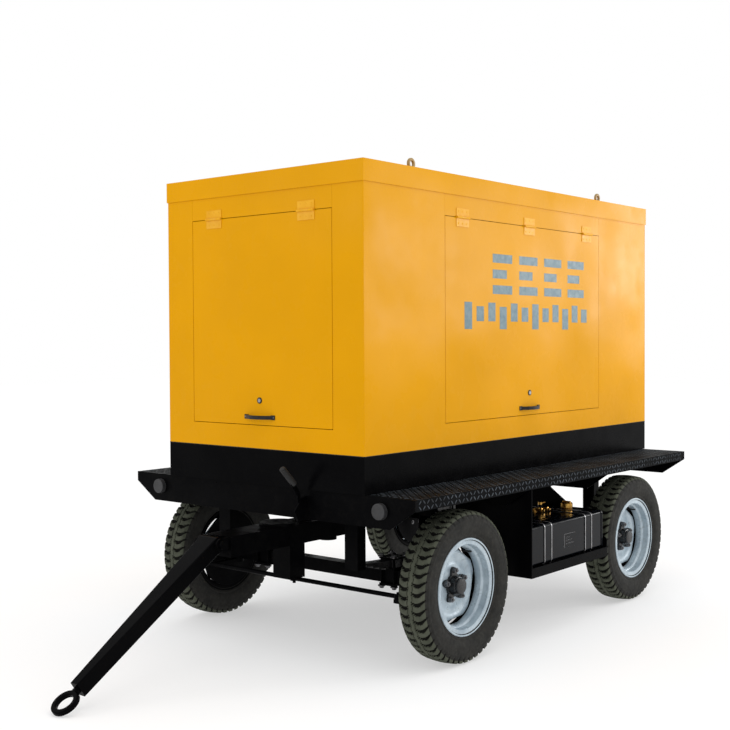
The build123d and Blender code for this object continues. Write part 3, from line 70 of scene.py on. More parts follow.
class Surface:
    """A procedural material: Principled shader with noise in its colour, roughness and bump."""

    def __init__(self, name, roughness=0.4, metallic=0.0, coat=0.0, shine=0.5):
        self.material = bpy.data.materials.new(name)
        self.material.use_nodes = True
        self.nodes = self.material.node_tree.nodes
        self.links = self.material.node_tree.links
        self.shader = self.nodes["Principled BSDF"]
        self.shader.inputs["Roughness"].default_value = roughness
        self.shader.inputs["Metallic"].default_value = metallic
        self.shader.inputs["Coat Weight"].default_value = coat
        self.shader.inputs["Coat Roughness"].default_value = 0.12
        self.shader.inputs["Specular IOR Level"].default_value = shine
        self.place = self.nodes.new("ShaderNodeTexCoord").outputs["Object"]

    def noise(self, scale, detail=4.0, roughness=0.55, stretch=None):
        node = self.nodes.new("ShaderNodeTexNoise")
        node.inputs["Scale"].default_value = scale
        node.inputs["Detail"].default_value = detail
        node.inputs["Roughness"].default_value = roughness
        place = self.place
        if stretch:
            mapping = self.nodes.new("ShaderNodeMapping")
            mapping.inputs["Scale"].default_value = stretch
            self.links.new(place, mapping.inputs["Vector"])
            place = mapping.outputs["Vector"]
        self.links.new(place, node.inputs["Vector"])
        return node.outputs["Fac"]

    def ramp(self, value, stops):
        """Colours at positions along a 0 to 1 value."""
        node = self.nodes.new("ShaderNodeValToRGB")
        elements = node.color_ramp.elements
        while len(elements) < len(stops):
            elements.new(0.5)
        for element, (position, colour) in zip(elements, stops):
            element.position = position
            element.color = colour
        self.links.new(value, node.inputs["Fac"])
        return node.outputs["Color"]

    def span(self, value, low, high, to_low=0.0, to_high=1.0):
        node = self.nodes.new("ShaderNodeMapRange")
        for key, number in zip(("From Min", "From Max", "To Min", "To Max"), (low, high, to_low, to_high)):
            node.inputs[key].default_value = number
        self.links.new(value, node.inputs["Value"])
        return node.outputs["Result"]

    def axis(self, index):
        """Object X, Y or Z, in metres."""
        node = self.nodes.new("ShaderNodeSeparateXYZ")
        self.links.new(self.place, node.inputs[0])
        return node.outputs[index]

    def math(self, operation, first, second=None):
        node = self.nodes.new("ShaderNodeMath")
        node.operation = operation
        for socket, value in zip(node.inputs, (first, second)):
            if isinstance(value, (int, float)):
                socket.default_value = value
            elif value is not None:
                self.links.new(value, socket)
        return node.outputs[0]

    def mix(self, factor, first, second):
        node = self.nodes.new("ShaderNodeMix")
        node.data_type = "RGBA"
        self.links.new(factor, node.inputs[0])
        for socket, value in ((node.inputs[6], first), (node.inputs[7], second)):
            if isinstance(value, tuple):
                socket.default_value = value
            else:
                self.links.new(value, socket)
        return node.outputs[2]

    def colour(self, output):
        self.links.new(output, self.shader.inputs["Base Color"])
        return self

    def rough(self, output):
        self.links.new(output, self.shader.inputs["Roughness"])
        return self

    def bump(self, *heights):
        """Heights as (value, depth in metres), one bump on top of another."""
        normal = None
        for value, distance in heights:
            node = self.nodes.new("ShaderNodeBump")
            node.inputs["Distance"].default_value = distance
            self.links.new(value, node.inputs["Height"])
            if normal:
                self.links.new(normal, node.inputs["Normal"])
            normal = node.outputs["Normal"]
        self.links.new(normal, self.shader.inputs["Normal"])
        return self


def paint(name, base, shade, low_rough, high_rough):
    """Sprayed paint: slow colour drift and orange peel."""
    s = Surface(name, coat=0.3)
    drift = s.noise(2.3, 3.0)
    s.colour(s.ramp(drift, [(0.3, base), (0.72, shade)]))
    s.rough(s.span(s.noise(9.0, 5.0), 0.3, 0.7, low_rough, high_rough))
    return s.bump((s.noise(420.0, 2.0), 0.00012)).material


def yellow_paint():
    s = Surface("canopy_yellow", shine=0.05)
    base, shade = linear(222, 156, 0), linear(213, 149, 0)
    body = s.ramp(s.noise(1.9, 3.0), [(0.3, base), (0.75, shade)])
    # road dust, strongest low down on the walls
    dust = s.math("MULTIPLY", s.span(s.axis(2), 1.5, 0.95), s.span(s.noise(30.0, 8.0, 0.7), 0.45, 0.8))
    s.colour(s.mix(s.math("MULTIPLY", dust, 0.10), body, linear(214, 160, 50)))
    s.rough(s.span(s.noise(7.0, 5.0), 0.3, 0.7, 0.22, 0.32))
    s.bump((s.noise(380.0, 2.0), 0.00008), (s.noise(1.7, 1.5, 0.35), 0.035))
    return s.material


def door_fittings_paint():
    """Black handle low on the door; the hinge leaves near its top are sprayed with it."""
    s = Surface("door_fittings", shine=0.2)
    high = s.span(s.axis(2), 1.60, 1.62)
    black = s.ramp(s.noise(60.0), [(0.3, linear(16, 16, 17)), (0.7, linear(38, 38, 40))])
    yellow = s.ramp(s.noise(25.0), [(0.3, linear(232, 172, 40)), (0.7, linear(222, 158, 20))])
    s.colour(s.mix(high, black, yellow))
    s.rough(s.span(s.noise(40.0), 0.3, 0.7, 0.32, 0.48))
    return s.bump((s.noise(300.0, 2.0), 0.0001)).material


def hinge_paint():
    s = Surface("hinge_yellow", shine=0.1)
    s.colour(s.ramp(s.noise(25.0), [(0.3, linear(232, 172, 40)), (0.7, linear(222, 158, 20))]))
    s.rough(s.span(s.noise(40.0), 0.3, 0.7, 0.3, 0.45))
    return s.bump((s.noise(300.0, 2.0), 0.0001)).material


def black_paint():
    s = Surface("gloss_black", shine=0.02)
    black = s.ramp(s.noise(3.0, 4.0), [(0.3, linear(3, 3, 4)), (0.75, linear(8, 8, 9))])
    dust = s.math("MULTIPLY", s.span(s.noise(45.0, 8.0, 0.7), 0.56, 0.8), 0.02)
    s.colour(s.mix(dust, black, linear(96, 92, 86)))
    s.rough(s.span(s.noise(11.0, 6.0), 0.3, 0.75, 0.16, 0.34))
    return s.bump((s.noise(240.0, 3.0), 0.00015), (s.noise(4.0, 1.0), 0.003)).material


def tank_black():
    """Thick gloss enamel over the tank's pressed sheet."""
    s = Surface("tank_black", coat=0.15, shine=0.04)
    s.shader.inputs["Coat Roughness"].default_value = 0.05
    s.colour(s.ramp(s.noise(4.0, 4.0), [(0.3, linear(4, 5, 8)), (0.75, linear(12, 14, 19))]))
    s.rough(s.span(s.noise(11.0, 6.0), 0.3, 0.75, 0.12, 0.3))
    return s.bump((s.noise(120.0, 3.0), 0.0001)).material


def chassis_black():
    s = Surface("chassis_black", shine=0.02)
    black = s.ramp(s.noise(6.0, 5.0), [(0.3, linear(2, 2, 3)), (0.75, linear(8, 8, 9))])
    dust = s.math("MULTIPLY", s.span(s.noise(30.0, 8.0, 0.7), 0.5, 0.8), 0.03)
    s.colour(s.mix(dust, black, linear(88, 84, 78)))
    s.rough(s.span(s.noise(14.0, 6.0), 0.3, 0.75, 0.26, 0.5))
    return s.bump((s.noise(160.0, 4.0), 0.0003)).material


def chequer_steel():
    """Black-painted walkway plate, worn bright where feet touch it."""
    s = Surface("walkway_plate", shine=0.02)
    wear = s.span(s.noise(5.0, 6.0, 0.6), 0.4, 0.75)
    s.colour(s.mix(wear, linear(5, 6, 7), linear(17, 19, 21)))
    s.rough(s.span(s.noise(30.0, 6.0), 0.3, 0.7, 0.45, 0.65))
    return s.bump((s.noise(190.0, 4.0), 0.0002)).material


def nub_steel():
    s = Surface("walkway_nubs", shine=0.1)
    wear = s.span(s.noise(8.0, 6.0, 0.6), 0.35, 0.7)
    s.colour(s.mix(wear, linear(24, 27, 30), linear(80, 87, 94)))
    s.rough(s.span(s.noise(30.0, 6.0), 0.3, 0.7, 0.4, 0.55))
    return s.bump((s.noise(260.0, 4.0), 0.0002)).material


def tyre_rubber():
    s = Surface("tyre_rubber", shine=0.12)
    rubber = s.ramp(s.noise(14.0, 6.0, 0.6), [(0.3, linear(30, 30, 29)), (0.75, linear(46, 45, 42))])
    dust = s.math("MULTIPLY", s.span(s.noise(60.0, 8.0, 0.7), 0.5, 0.8), 0.15)
    s.colour(s.mix(dust, rubber, linear(104, 102, 92)))
    s.rough(s.span(s.noise(50.0, 5.0), 0.3, 0.7, 0.62, 0.82))
    return s.bump((s.noise(420.0, 3.0), 0.0003)).material


def tread_rubber():
    s = Surface("tread_rubber", shine=0.1)
    rubber = s.ramp(s.noise(25.0, 6.0, 0.6), [(0.3, linear(62, 65, 55)), (0.75, linear(84, 87, 75))])
    s.colour(rubber)
    s.rough(s.span(s.noise(50.0, 5.0), 0.3, 0.7, 0.7, 0.88))
    return s.bump((s.noise(420.0, 3.0), 0.0004)).material


# rubber for the groove floors, darker than the sidewall: painted shade in the tread's recesses
def groove_shade_rubber():
    s = Surface("groove_shade_rubber", shine=0.05)
    s.colour(s.ramp(s.noise(25.0, 6.0, 0.6), [(0.3, linear(14, 14, 13)), (0.75, linear(28, 28, 25))]))
    s.rough(s.span(s.noise(50.0, 5.0), 0.3, 0.7, 0.75, 0.9))
    return s.bump((s.noise(420.0, 3.0), 0.0004)).material


def rim_paint():
    s = Surface("rim_silver", metallic=0.2, coat=0.2)
    silver = s.ramp(s.noise(11.0, 6.0, 0.65), [(0.3, linear(186, 200, 208)), (0.75, linear(140, 156, 168))])
    dirt = s.span(s.noise(38.0, 8.0, 0.75), 0.54, 0.8, 0.0, 0.6)
    s.colour(s.mix(dirt, silver, linear(92, 96, 96)))
    s.rough(s.span(s.noise(20.0, 6.0), 0.3, 0.7, 0.22, 0.42))
    return s.bump((s.noise(150.0, 4.0), 0.0003)).material


def bright_steel(name="bright_steel", tone=178):
    s = Surface(name, metallic=0.9)
    light, dark = linear(tone, tone, tone + 2), linear(tone - 40, tone - 42, tone - 42)
    s.colour(s.ramp(s.noise(30.0, 6.0), [(0.3, light), (0.75, dark)]))
    s.rough(s.span(s.noise(60.0, 6.0, stretch=(1, 1, 8)), 0.3, 0.7, 0.24, 0.45))
    return s.bump((s.noise(300.0, 3.0, stretch=(1, 1, 10)), 0.0001)).material


def brass():
    s = Surface("brass", metallic=0.95)
    s.colour(s.ramp(s.noise(40.0, 6.0), [(0.3, linear(226, 178, 92)), (0.75, linear(170, 120, 52))]))
    s.rough(s.span(s.noise(70.0, 5.0), 0.3, 0.7, 0.2, 0.42))
    return s.bump((s.noise(260.0, 3.0), 0.0002)).material


def casting(name, light, dark, rough=0.55, metallic=0.2):
    s = Surface(name, metallic=metallic)
    s.colour(s.ramp(s.noise(12.0, 6.0, 0.65), [(0.3, light), (0.75, dark)]))
    s.rough(s.span(s.noise(50.0, 5.0), 0.3, 0.7, rough - 0.1, rough + 0.12))
    return s.bump((s.noise(220.0, 6.0, 0.7), 0.0008)).material


def plastic(name, light, dark, rough=0.4):
    s = Surface(name)
    s.colour(s.ramp(s.noise(18.0, 4.0), [(0.3, light), (0.75, dark)]))
    s.rough(s.span(s.noise(80.0, 4.0), 0.3, 0.7, rough - 0.08, rough + 0.1))
    return s.bump((s.noise(500.0, 2.0), 0.0001)).material


def radiator_fins():
    """Core with close vertical tubes and level fins; the dark bands between the tubes are painted shade."""
    s = Surface("radiator_core", metallic=0.5)
    tube = s.math("SINE", s.math("MULTIPLY", s.axis(0), 2 * pi / 0.012))
    fin = s.math("SINE", s.math("MULTIPLY", s.axis(2), 2 * pi / 0.004))
    # lighter along each tube and dark between: painted shade between the tubes
    s.colour(s.mix(s.span(tube, 0.2, 0.8), linear(26, 27, 29), linear(96, 98, 102)))
    s.rough(s.span(s.noise(60.0), 0.3, 0.7, 0.4, 0.6))
    return s.bump((fin, 0.0006), (tube, 0.0015)).material


def lens():
    s = Surface("lamp_lens", roughness=0.12)
    ring = s.math("SINE", s.math("MULTIPLY", s.axis(0), 2 * pi / 0.006))
    s.colour(s.ramp(s.noise(30.0), [(0.3, linear(120, 44, 22)), (0.75, linear(84, 26, 14))]))
    s.shader.inputs["Transmission Weight"].default_value = 0.25
    return s.bump((ring, 0.0008)).material


def decal_blue():
    s = Surface("decal_blue")
    s.colour(s.ramp(s.noise(70.0, 8.0, 0.75), [(0.35, linear(44, 84, 104)), (0.7, linear(84, 116, 118))]))
    s.rough(s.span(s.noise(40.0), 0.3, 0.7, 0.36, 0.5))
    return s.bump((s.noise(300.0), 0.0001)).material


def floor_material():
    s = Surface("studio_floor", roughness=0.8, shine=0.0)
    s.colour(s.ramp(s.noise(0.8, 3.0), [(0.3, linear(196, 196, 196)), (0.75, linear(194, 194, 194))]))
    s.shader.inputs["Emission Color"].default_value = (1, 1, 1, 1)
    s.shader.inputs["Emission Strength"].default_value = 0.46
    return s.material


YELLOW = yellow_paint()
FITTINGS = door_fittings_paint()
HINGE = hinge_paint()
GLOSS = black_paint()
TANK_BLACK = tank_black()
FRAME_BLACK = chassis_black()
PLATE = chequer_steel()
NUBS = nub_steel()
SIDEWALL = tyre_rubber()
TREAD = tread_rubber()
GROOVE_SHADE = groove_shade_rubber()
SILVER = rim_paint()
STEEL = bright_steel()
DULL_STEEL = bright_steel("dull_steel", 110)
BRASS = brass()
HUB_IRON = casting("hub_iron", linear(5, 5, 6), linear(14, 14, 16), 0.3, 0.0)
EYE_METAL = casting("eye_metal", linear(168, 140, 84), linear(120, 96, 52), 0.45, 0.1)
SPRING = casting("spring_steel", linear(24, 24, 26), linear(44, 43, 42), 0.42, 0.3)
ENGINE = casting("engine_iron", linear(62, 74, 70), linear(42, 52, 50), 0.5)
ALTERNATOR = casting("alternator_paint", linear(40, 56, 92), linear(28, 40, 70), 0.42)
EXHAUST = casting("exhaust_steel", linear(122, 112, 100), linear(84, 70, 58), 0.6, 0.5)
BLACK_PLASTIC = plastic("black_plastic", linear(24, 24, 25), linear(40, 40, 42), 0.5)
RUBBER = plastic("moulded_rubber", linear(14, 14, 14), linear(26, 26, 26), 0.7)
RED = plastic("red_plastic", linear(196, 26, 20), linear(164, 16, 14), 0.28)
WHITE = plastic("white_enamel", linear(232, 232, 226), linear(214, 214, 208), 0.3)
GREY = paint("panel_grey", linear(150, 153, 154), linear(136, 139, 140), 0.36, 0.5)
FINS = radiator_fins()
LENS = lens()
BLUE = decal_blue()

CAD_LOOK = {
    "canopy_shell": YELLOW, "roof_lid": YELLOW, "rear_grille": YELLOW,
    "front_door": YELLOW, "left_door": YELLOW, "right_door": YELLOW,
    "front_door_fittings": FITTINGS, "left_door_fittings": FITTINGS, "right_door_fittings": FITTINGS,
    "door_hinge_frames": HINGE, "front_lock": STEEL, "left_lock": STEEL, "right_lock": STEEL,
    "lifting_eyes": EYE_METAL, "base_frame": GLOSS, "fuel_tank": TANK_BLACK, "drawbar": GLOSS,
    "towing_eye": GLOSS, "tie_rod": FRAME_BLACK, "handbrake_lever": GLOSS, "chassis_frame": FRAME_BLACK,
    "steering_tongue": FRAME_BLACK, "front_axle": FRAME_BLACK, "rear_axle": FRAME_BLACK,
    "knuckle_left": FRAME_BLACK, "knuckle_right": FRAME_BLACK, "tank_tray": GLOSS,
    "spring_fittings": FRAME_BLACK, "leaf_springs": SPRING, "deck_left": PLATE, "deck_right": PLATE,
    "engine": ENGINE, "engine_mounts": RUBBER, "alternator": ALTERNATOR, "rotor_shaft": STEEL,
    "cooling_fan": BLACK_PLASTIC, "fan_belt": RUBBER, "radiator": FINS, "air_cleaner": BLACK_PLASTIC,
    "muffler": EXHAUST, "battery": BLACK_PLASTIC, "control_box": GREY, "estop_button": RED,
    "key_switch": STEEL, "breaker_toggle": BLACK_PLASTIC, "fuel_cap": BRASS, "fuel_cock_lever": BRASS,
    "marker_lamps": LENS,
}
SMOOTH_ANGLE = radians(32)
for node, look in CAD_LOOK.items():
    cad_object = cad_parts[node]
    cad_object.data.materials.clear()
    cad_object.data.materials.append(look)
    cad_object.data.polygons.foreach_set("use_smooth", [True] * len(cad_object.data.polygons))
    cad_object.data.set_sharp_from_angle(angle=SMOOTH_ANGLE)


# ------------------------------------------------------------------ mesh helpers
class Builder:
    """Collects faces for one piece."""

    def __init__(self):
        self.bm = bmesh.new()

    def grid(self, rows, closed_rows=False, closed_columns=False, slot=0):
        """Faces between rows of points; every row has the same number of points."""
        vertex_rows = [[self.bm.verts.new(p) for p in row] for row in rows]
        count, width = len(rows), len(rows[0])
        for i in range(count if closed_rows else count - 1):
            upper = vertex_rows[(i + 1) % count]
            for j in range(width if closed_columns else width - 1):
                k = (j + 1) % width
                face = self.bm.faces.new((vertex_rows[i][j], vertex_rows[i][k], upper[k], upper[j]))
                face.material_index = slot
        return vertex_rows

    def box(self, low, high, bevel=0.0, segments=2, turn=None, slot=0):
        """A box with rounded edges, turned about its middle by a matrix if one is given."""
        centre = [(low[i] + high[i]) / 2 for i in range(3)]
        size = [abs(high[i] - low[i]) for i in range(3)]
        place = Matrix.Translation(centre) @ (turn or Matrix()) @ Matrix.Diagonal((*size, 1.0))
        made = bmesh.ops.create_cube(self.bm, size=1.0, matrix=place)["verts"]
        faces = {f for v in made for f in v.link_faces}
        if bevel:
            edges = {e for v in made for e in v.link_edges}
            result = bmesh.ops.bevel(
                self.bm, geom=list(edges), offset=bevel, segments=segments, profile=0.5, affect="EDGES"
            )
            faces |= set(result["faces"])
        for face in faces:
            if face.is_valid:
                face.material_index = slot

    def turned(self, centre, axis, profile, segments=48, slot=0):
        """A solid of revolution: profile is (distance along axis, radius) from one end to the other."""
        way = Vector(axis).normalized()
        side = way.orthogonal().normalized()
        up = way.cross(side)
        rows = []
        for along, radius in profile:
            ring = []
            for i in range(segments):
                a = 2 * pi * i / segments
                ring.append(Vector(centre) + way * along + (side * cos(a) + up * sin(a)) * max(radius, 1e-5))
            rows.append(ring)
        made = self.grid(rows, closed_columns=True, slot=slot)
        for ring in (made[0], made[-1]):
            face = self.bm.faces.new(ring)
            face.material_index = slot

    def bolt(self, at, way, across=0.019, height=0.011, slot=0):
        """A hexagon head on a washer, standing on the surface at this point."""
        washer = [(-0.002, across * 0.95), (0.0025, across * 0.95), (0.003, across * 0.9)]
        self.turned(at, way, washer, 24, slot)
        radius = across / sqrt(3)
        profile = [(0.002, radius), (height * 0.85, radius), (height, radius * 0.85)]
        self.turned(at, way, profile, 6, slot)

    def pipe(self, points, radius, segments=16, slot=0):
        """A round tube through these points, with closed ends."""
        points = [Vector(p) for p in points]
        rows = []
        side = (points[1] - points[0]).orthogonal().normalized()
        for i, point in enumerate(points):
            way = (points[min(i + 1, len(points) - 1)] - points[max(i - 1, 0)]).normalized()
            side = (side - way * side.dot(way)).normalized()
            up = way.cross(side)
            ring = [2 * pi * j / segments for j in range(segments)]
            rows.append([point + (side * cos(a) + up * sin(a)) * radius for a in ring])
        made = self.grid(rows, closed_columns=True, slot=slot)
        for ring in (made[0], made[-1]):
            self.bm.faces.new(ring).material_index = slot

    def finish(self, name, materials, body="trailer", replaces=()):
        """The piece as an object that rides on a body."""
        bmesh.ops.recalc_face_normals(self.bm, faces=self.bm.faces)
        mesh = bpy.data.meshes.new(name)
        self.bm.to_mesh(mesh)
        self.bm.free()
        for material in materials:
            mesh.materials.append(material)
        mesh.polygons.foreach_set("use_smooth", [True] * len(mesh.polygons))
        mesh.set_sharp_from_angle(angle=SMOOTH_ANGLE)
        piece = bpy.data.objects.new(name, mesh)
        bpy.context.scene.collection.objects.link(piece)
        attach(piece, body)
        for node in replaces:
            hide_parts(node)
        return piece


def arc(centre, radius, start, end, steps):
    """Points on an arc as (x, y) pairs; angles in degrees."""
    angles = [radians(start + (end - start) * i / steps) for i in range(steps + 1)]
    return [(centre[0] + radius * cos(a), centre[1] + radius * sin(a)) for a in angles]


# ------------------------------------------------------------------ wheels
TYRE_HALF = 0.080
BEAD_RADIUS = 0.2315
TREAD_PITCHES = 52
STEPS_PER_PITCH = 12
TREAD_DEPTH = 0.010


def tyre_profile():
    """Half of the tyre's outer shape, from the bead to the crown, as (radius, half width)."""
    side = [
        (BEAD_RADIUS, 0.0635), (BEAD_RADIUS + 0.004, 0.0670), (BEAD_RADIUS + 0.010, 0.0695),
        (BEAD_RADIUS + 0.014, 0.0690), (BEAD_RADIUS + 0.018, 0.0715), (0.262, 0.0765), (0.275, 0.0788),
        (0.290, 0.0795), (0.304, 0.0790), (0.314, 0.0778), (0.3165, 0.0784), (0.322, 0.0778),
        (0.3245, 0.0765), (0.332, 0.0748), (0.340, 0.0728), (0.3455, 0.0708), (0.3500, 0.0680),
        (0.3530, 0.0650), (0.3548, 0.0615),
    ]
    crown = [(0.3555 + 0.0040 * sin(pi / 2 * (1 - i / 16)), 0.0580 * i / 16) for i in range(15, -1, -1)]
    return side + crown


def zigzag(phase):
    """A triangle wave from -1 to 1 with period 1."""
    return 4 * abs((phase % 1.0) - 0.5) - 1


def groove(turn, across):
    """Depth of the tread pattern at this turn (in pitches) and place across, 0 to 1."""
    width = abs(across)
    hand = 0.5 if across < 0 else 0.0
    # a zigzag groove round the tyre, each side of the middle rib
    line = 0.0125 + 0.0030 * zigzag(turn + hand)
    depth = max(0.0, 1.0 - abs(width - line) / 0.0026) * 1.2
    # hooked grooves out to the shoulder
    if width > 0.015:
        reach = (width - 0.015) / (TYRE_HALF - 0.015)
        bend = 0.62 * reach**1.5 - 0.30 * sin(pi * reach)
        gap = abs(((turn + hand + bend) % 1.0) - 0.5) * 2
        open_width = 0.30 + 0.16 * sin(pi * min(1.0, reach * 1.2))
        depth = max(depth, min(1.0, max(0.0, (open_width - gap) / 0.14)) * 1.4)
    return min(1.0, depth)


def build_tyre(corner):
    """Tyre with its tread cut in; the groove floors and the tread have materials of their own, the groove
    floors darker as painted shade.
    """
    centre = middle(f"tyre_{corner}")
    half = tyre_profile()
    profile = [(r, -w) for r, w in half] + [(r, w) for r, w in reversed(half[:-1])]
    profile += [(0.2045, 0.0600), (0.2040, 0.0), (0.2045, -0.0600)]
    hand = 1 if centre.x > 0 else -1
    steps = TREAD_PITCHES * STEPS_PER_PITCH
    build = Builder()
    rows, depths = [], []
    for i in range(steps):
        turn = i / STEPS_PER_PITCH
        angle = 2 * pi * i / steps
        row = []
        for radius, across in profile:
            sunk = 0.0
            if radius > 0.318:
                fade = min(1.0, (radius - 0.318) / 0.030)
                sunk = TREAD_DEPTH * groove(turn, across) * fade
            if radius > 0.345:
                place = (radius - sunk, across)
            else:
                inward = sunk * 0.45
                place = (radius - sunk * 0.25, across - (inward if across > 0 else -inward))
            row.append(centre + Vector((hand * place[1], place[0] * cos(angle), place[0] * sin(angle))))
            depths.append(sunk)
        rows.append(row)
    build.grid(rows, closed_rows=True, closed_columns=True)
    build.bm.verts.index_update()
    for face in build.bm.faces:
        out = face.calc_center_median() - centre
        # faces sunk deep in a groove take the darker rubber: painted shade
        if sum(depths[v.index] for v in face.verts) > 4 * 0.45 * TREAD_DEPTH:
            face.material_index = 2
        elif sqrt(out.y**2 + out.z**2) > 0.336:
            face.material_index = 1
    looks = [SIDEWALL, TREAD, GROOVE_SHADE]
    build.finish(f"tyre_tread_{corner}", looks, f"wheel_{corner}", [f"tyre_{corner}"])


DISC_FACE = -0.016
DISC_RADIUS = 0.1865
DISC_FLAT = 0.1660
STUD_CIRCLE = 0.0725
STUD_ANGLES = [22 + 72 * i for i in range(5)]


def disc_reach(angle):
    """Outer radius of the wheel disc at this angle: round, with five flats that leave hand holes."""
    step = 2 * pi / 5
    from_flat = (angle - radians(STUD_ANGLES[0])) % step - step / 2
    return min(DISC_RADIUS, DISC_FLAT / cos(from_flat))


def build_rim(corner):
    """Rim, wheel disc and tyre valve."""
    centre = middle(f"tyre_{corner}")
    hand = 1 if centre.x > 0 else -1
    way = (hand, 0, 0)
    build = Builder()
    # rolled flanges, bead seats and drop centre, as one closed section
    outer = [(0.0680, 0.2270), (0.0660, 0.2300), (0.0635, 0.2300), (0.0620, 0.2270), (0.0615, 0.2060)]
    outer += [(0.0580, 0.2030), (0.0300, 0.2020), (0.0250, 0.2000), (0.0200, 0.1920), (0.0160, 0.1900)]
    outer += [(-a, r) for a, r in reversed(outer)]
    inner = [(a * 0.985, r - 0.0050) for a, r in reversed(outer)]
    inner[0] = (-0.0675, 0.2215)
    inner[-1] = (0.0675, 0.2215)
    section = outer + inner
    # wheel disc: flat middle, shallow dish and a low ring near its edge
    front = [(0.0, 0.056), (0.0, 0.094), (-0.0015, 0.100), (-0.0050, 0.110), (-0.0060, 0.120)]
    front += [(-0.0050, 0.130), (-0.0030, 0.139), (0.0005, 0.146), (0.0015, 0.151)]
    edge = [(0.0012, 0.25), (-0.0005, 0.55), (-0.0045, 0.85), (-0.0090, 1.0)]
    thickness = 0.005
    segments = 120
    rows, disc_rows = [], []
    for i in range(segments):
        a = 2 * pi * i / segments
        spoke = Vector((0, cos(a), sin(a)))
        rows.append([centre + Vector((hand * x, 0, 0)) + spoke * r for x, r in section])
        start = front[-1][1]
        face = front + [(x, start + (disc_reach(a) - start) * share) for x, share in edge]
        loop = [(DISC_FACE + x, r) for x, r in face]
        loop += [(x - thickness, r) for x, r in reversed(loop)]
        disc_rows.append([centre + Vector((hand * x, 0, 0)) + spoke * r for x, r in loop])
    build.grid(rows, closed_rows=True, closed_columns=True)
    build.grid(disc_rows, closed_rows=True, closed_columns=True)
    # tyre valve through one of the hand holes
    angle = radians(STUD_ANGLES[0]) + pi / 5
    valve = centre + Vector((0, 0.176 * cos(angle), 0.176 * sin(angle)))
    stem = [(-0.03, 0.004), (0.012, 0.004), (0.013, 0.0055), (0.026, 0.005), (0.027, 0.003)]
    build.turned(valve, way, stem, 16, 1)
    bmesh.ops.recalc_face_normals(build.bm, faces=build.bm.faces)
    # the barrel's inboard half and the back of the disc take the black chassis paint: painted shade for the
    # wheel's inside
    for face in build.bm.faces:
        depth = hand * (face.calc_center_median().x - centre.x)
        painted_shade_behind = hand * face.normal.x < -0.3 and depth < DISC_FACE
        if face.material_index == 0 and (painted_shade_behind or depth < DISC_FACE - 0.015):
            face.material_index = 2
    looks = [SILVER, RUBBER, FRAME_BLACK]
    build.finish(f"wheel_rim_{corner}", looks, f"wheel_{corner}", [f"rim_{corner}"])


def build_hub(corner):
    """Brake drum, lobed flange, five wheel nuts, and a hub cap with its bolts."""
    centre = middle(f"tyre_{corner}")
    hand = 1 if centre.x > 0 else -1
    way = Vector((hand, 0, 0))
    build = Builder()
    # brake drum behind the disc
    drum = [(-0.0685, 0.022), (-0.0685, 0.114), (-0.066, 0.118), (-0.050, 0.118), (-0.048, 0.1165)]
    drum += [(-0.044, 0.1165), (-0.042, 0.118), (-0.034, 0.118), (-0.030, 0.106)]
    drum += [(-0.0225, 0.100), (-0.0225, 0.03)]
    build.turned(centre, way, drum, 72)
    # five-lobed flange in front of the disc
    levels = [(DISC_FACE + 0.0003, 1.0), (DISC_FACE + 0.008, 1.0)]
    levels += [(DISC_FACE + 0.0115, 0.965), (DISC_FACE + 0.012, 0.90)]
    rows = []
    for x, shrink in levels:
        ring = []
        for i in range(120):
            a = radians(i * 3)
            lobe = max(cos(radians(5 * (i * 3 - STUD_ANGLES[0]))), -0.35)
            r = (0.0640 + 0.0235 * lobe) * shrink
            ring.append(centre + way * x + Vector((0, r * cos(a), r * sin(a))))
        rows.append(ring)
    made = build.grid(rows, closed_columns=True)
    build.bm.faces.new(made[0])
    build.bm.faces.new(made[-1])
    boss = [(DISC_FACE + 0.010, 0.047), (0.012, 0.0455), (0.022, 0.0425), (0.0235, 0.0395), (0.034, 0.0385)]
    boss += [(0.0385, 0.0350), (0.0405, 0.026), (0.0418, 0.010), (0.0418, 0.0)]
    build.turned(centre, way, boss, 64)
    for angle in STUD_ANGLES:
        a = radians(angle)
        foot = centre + way * (DISC_FACE + 0.012) + Vector((0, STUD_CIRCLE * cos(a), STUD_CIRCLE * sin(a)))
        build.turned(foot, way, [(-0.001, 0.0145), (0.003, 0.0138), (0.0035, 0.013)], 24, 1)
        nut = 0.024 / sqrt(3)
        build.turned(foot, way, [(0.002, nut), (0.0135, nut), (0.0160, nut * 0.84)], 6, 1)
        build.turned(foot, way, [(0.010, 0.0065), (0.0215, 0.0065), (0.0230, 0.0050)], 16, 1)
    for i in range(4):
        a = radians(45 + 90 * i)
        spot = centre + way * 0.0228 + Vector((0, 0.041 * cos(a), 0.041 * sin(a)))
        build.bolt(spot, way, 0.008, 0.006, 0)
    looks = [HUB_IRON, DULL_STEEL]
    build.finish(f"wheel_hub_{corner}", looks, f"wheel_{corner}", [f"hub_{corner}"])


def build_backing_plate(corner):
    """Pressed plate that closes the inboard side of the brake drum."""
    centre = middle(f"tyre_{corner}")
    hand = 1 if centre.x > 0 else -1
    build = Builder()
    profile = [(0.0698, 0.024), (0.0698, 0.186), (0.0694, 0.192), (0.0704, 0.1980), (0.0729, 0.1990)]
    profile += [(0.0745, 0.1960), (0.0735, 0.184), (0.0750, 0.130), (0.0800, 0.110), (0.0800, 0.024)]
    build.turned(centre, (-hand, 0, 0), profile, 72)
    for i in range(6):
        a = 2 * pi * i / 6
        spot = centre + Vector((-hand * 0.0795, 0.070 * cos(a), 0.070 * sin(a)))
        build.bolt(spot, (-hand, 0, 0), 0.014, 0.008, 1)
    end, side = corner.split("_")
    body = f"{side}_knuckle" if end == "front" else "trailer"
    build.finish(f"backing_plate_{corner}", [FRAME_BLACK, DULL_STEEL], body)


for corner in CORNERS:
    build_backing_plate(corner)
    build_tyre(corner)
    build_rim(corner)
    build_hub(corner)


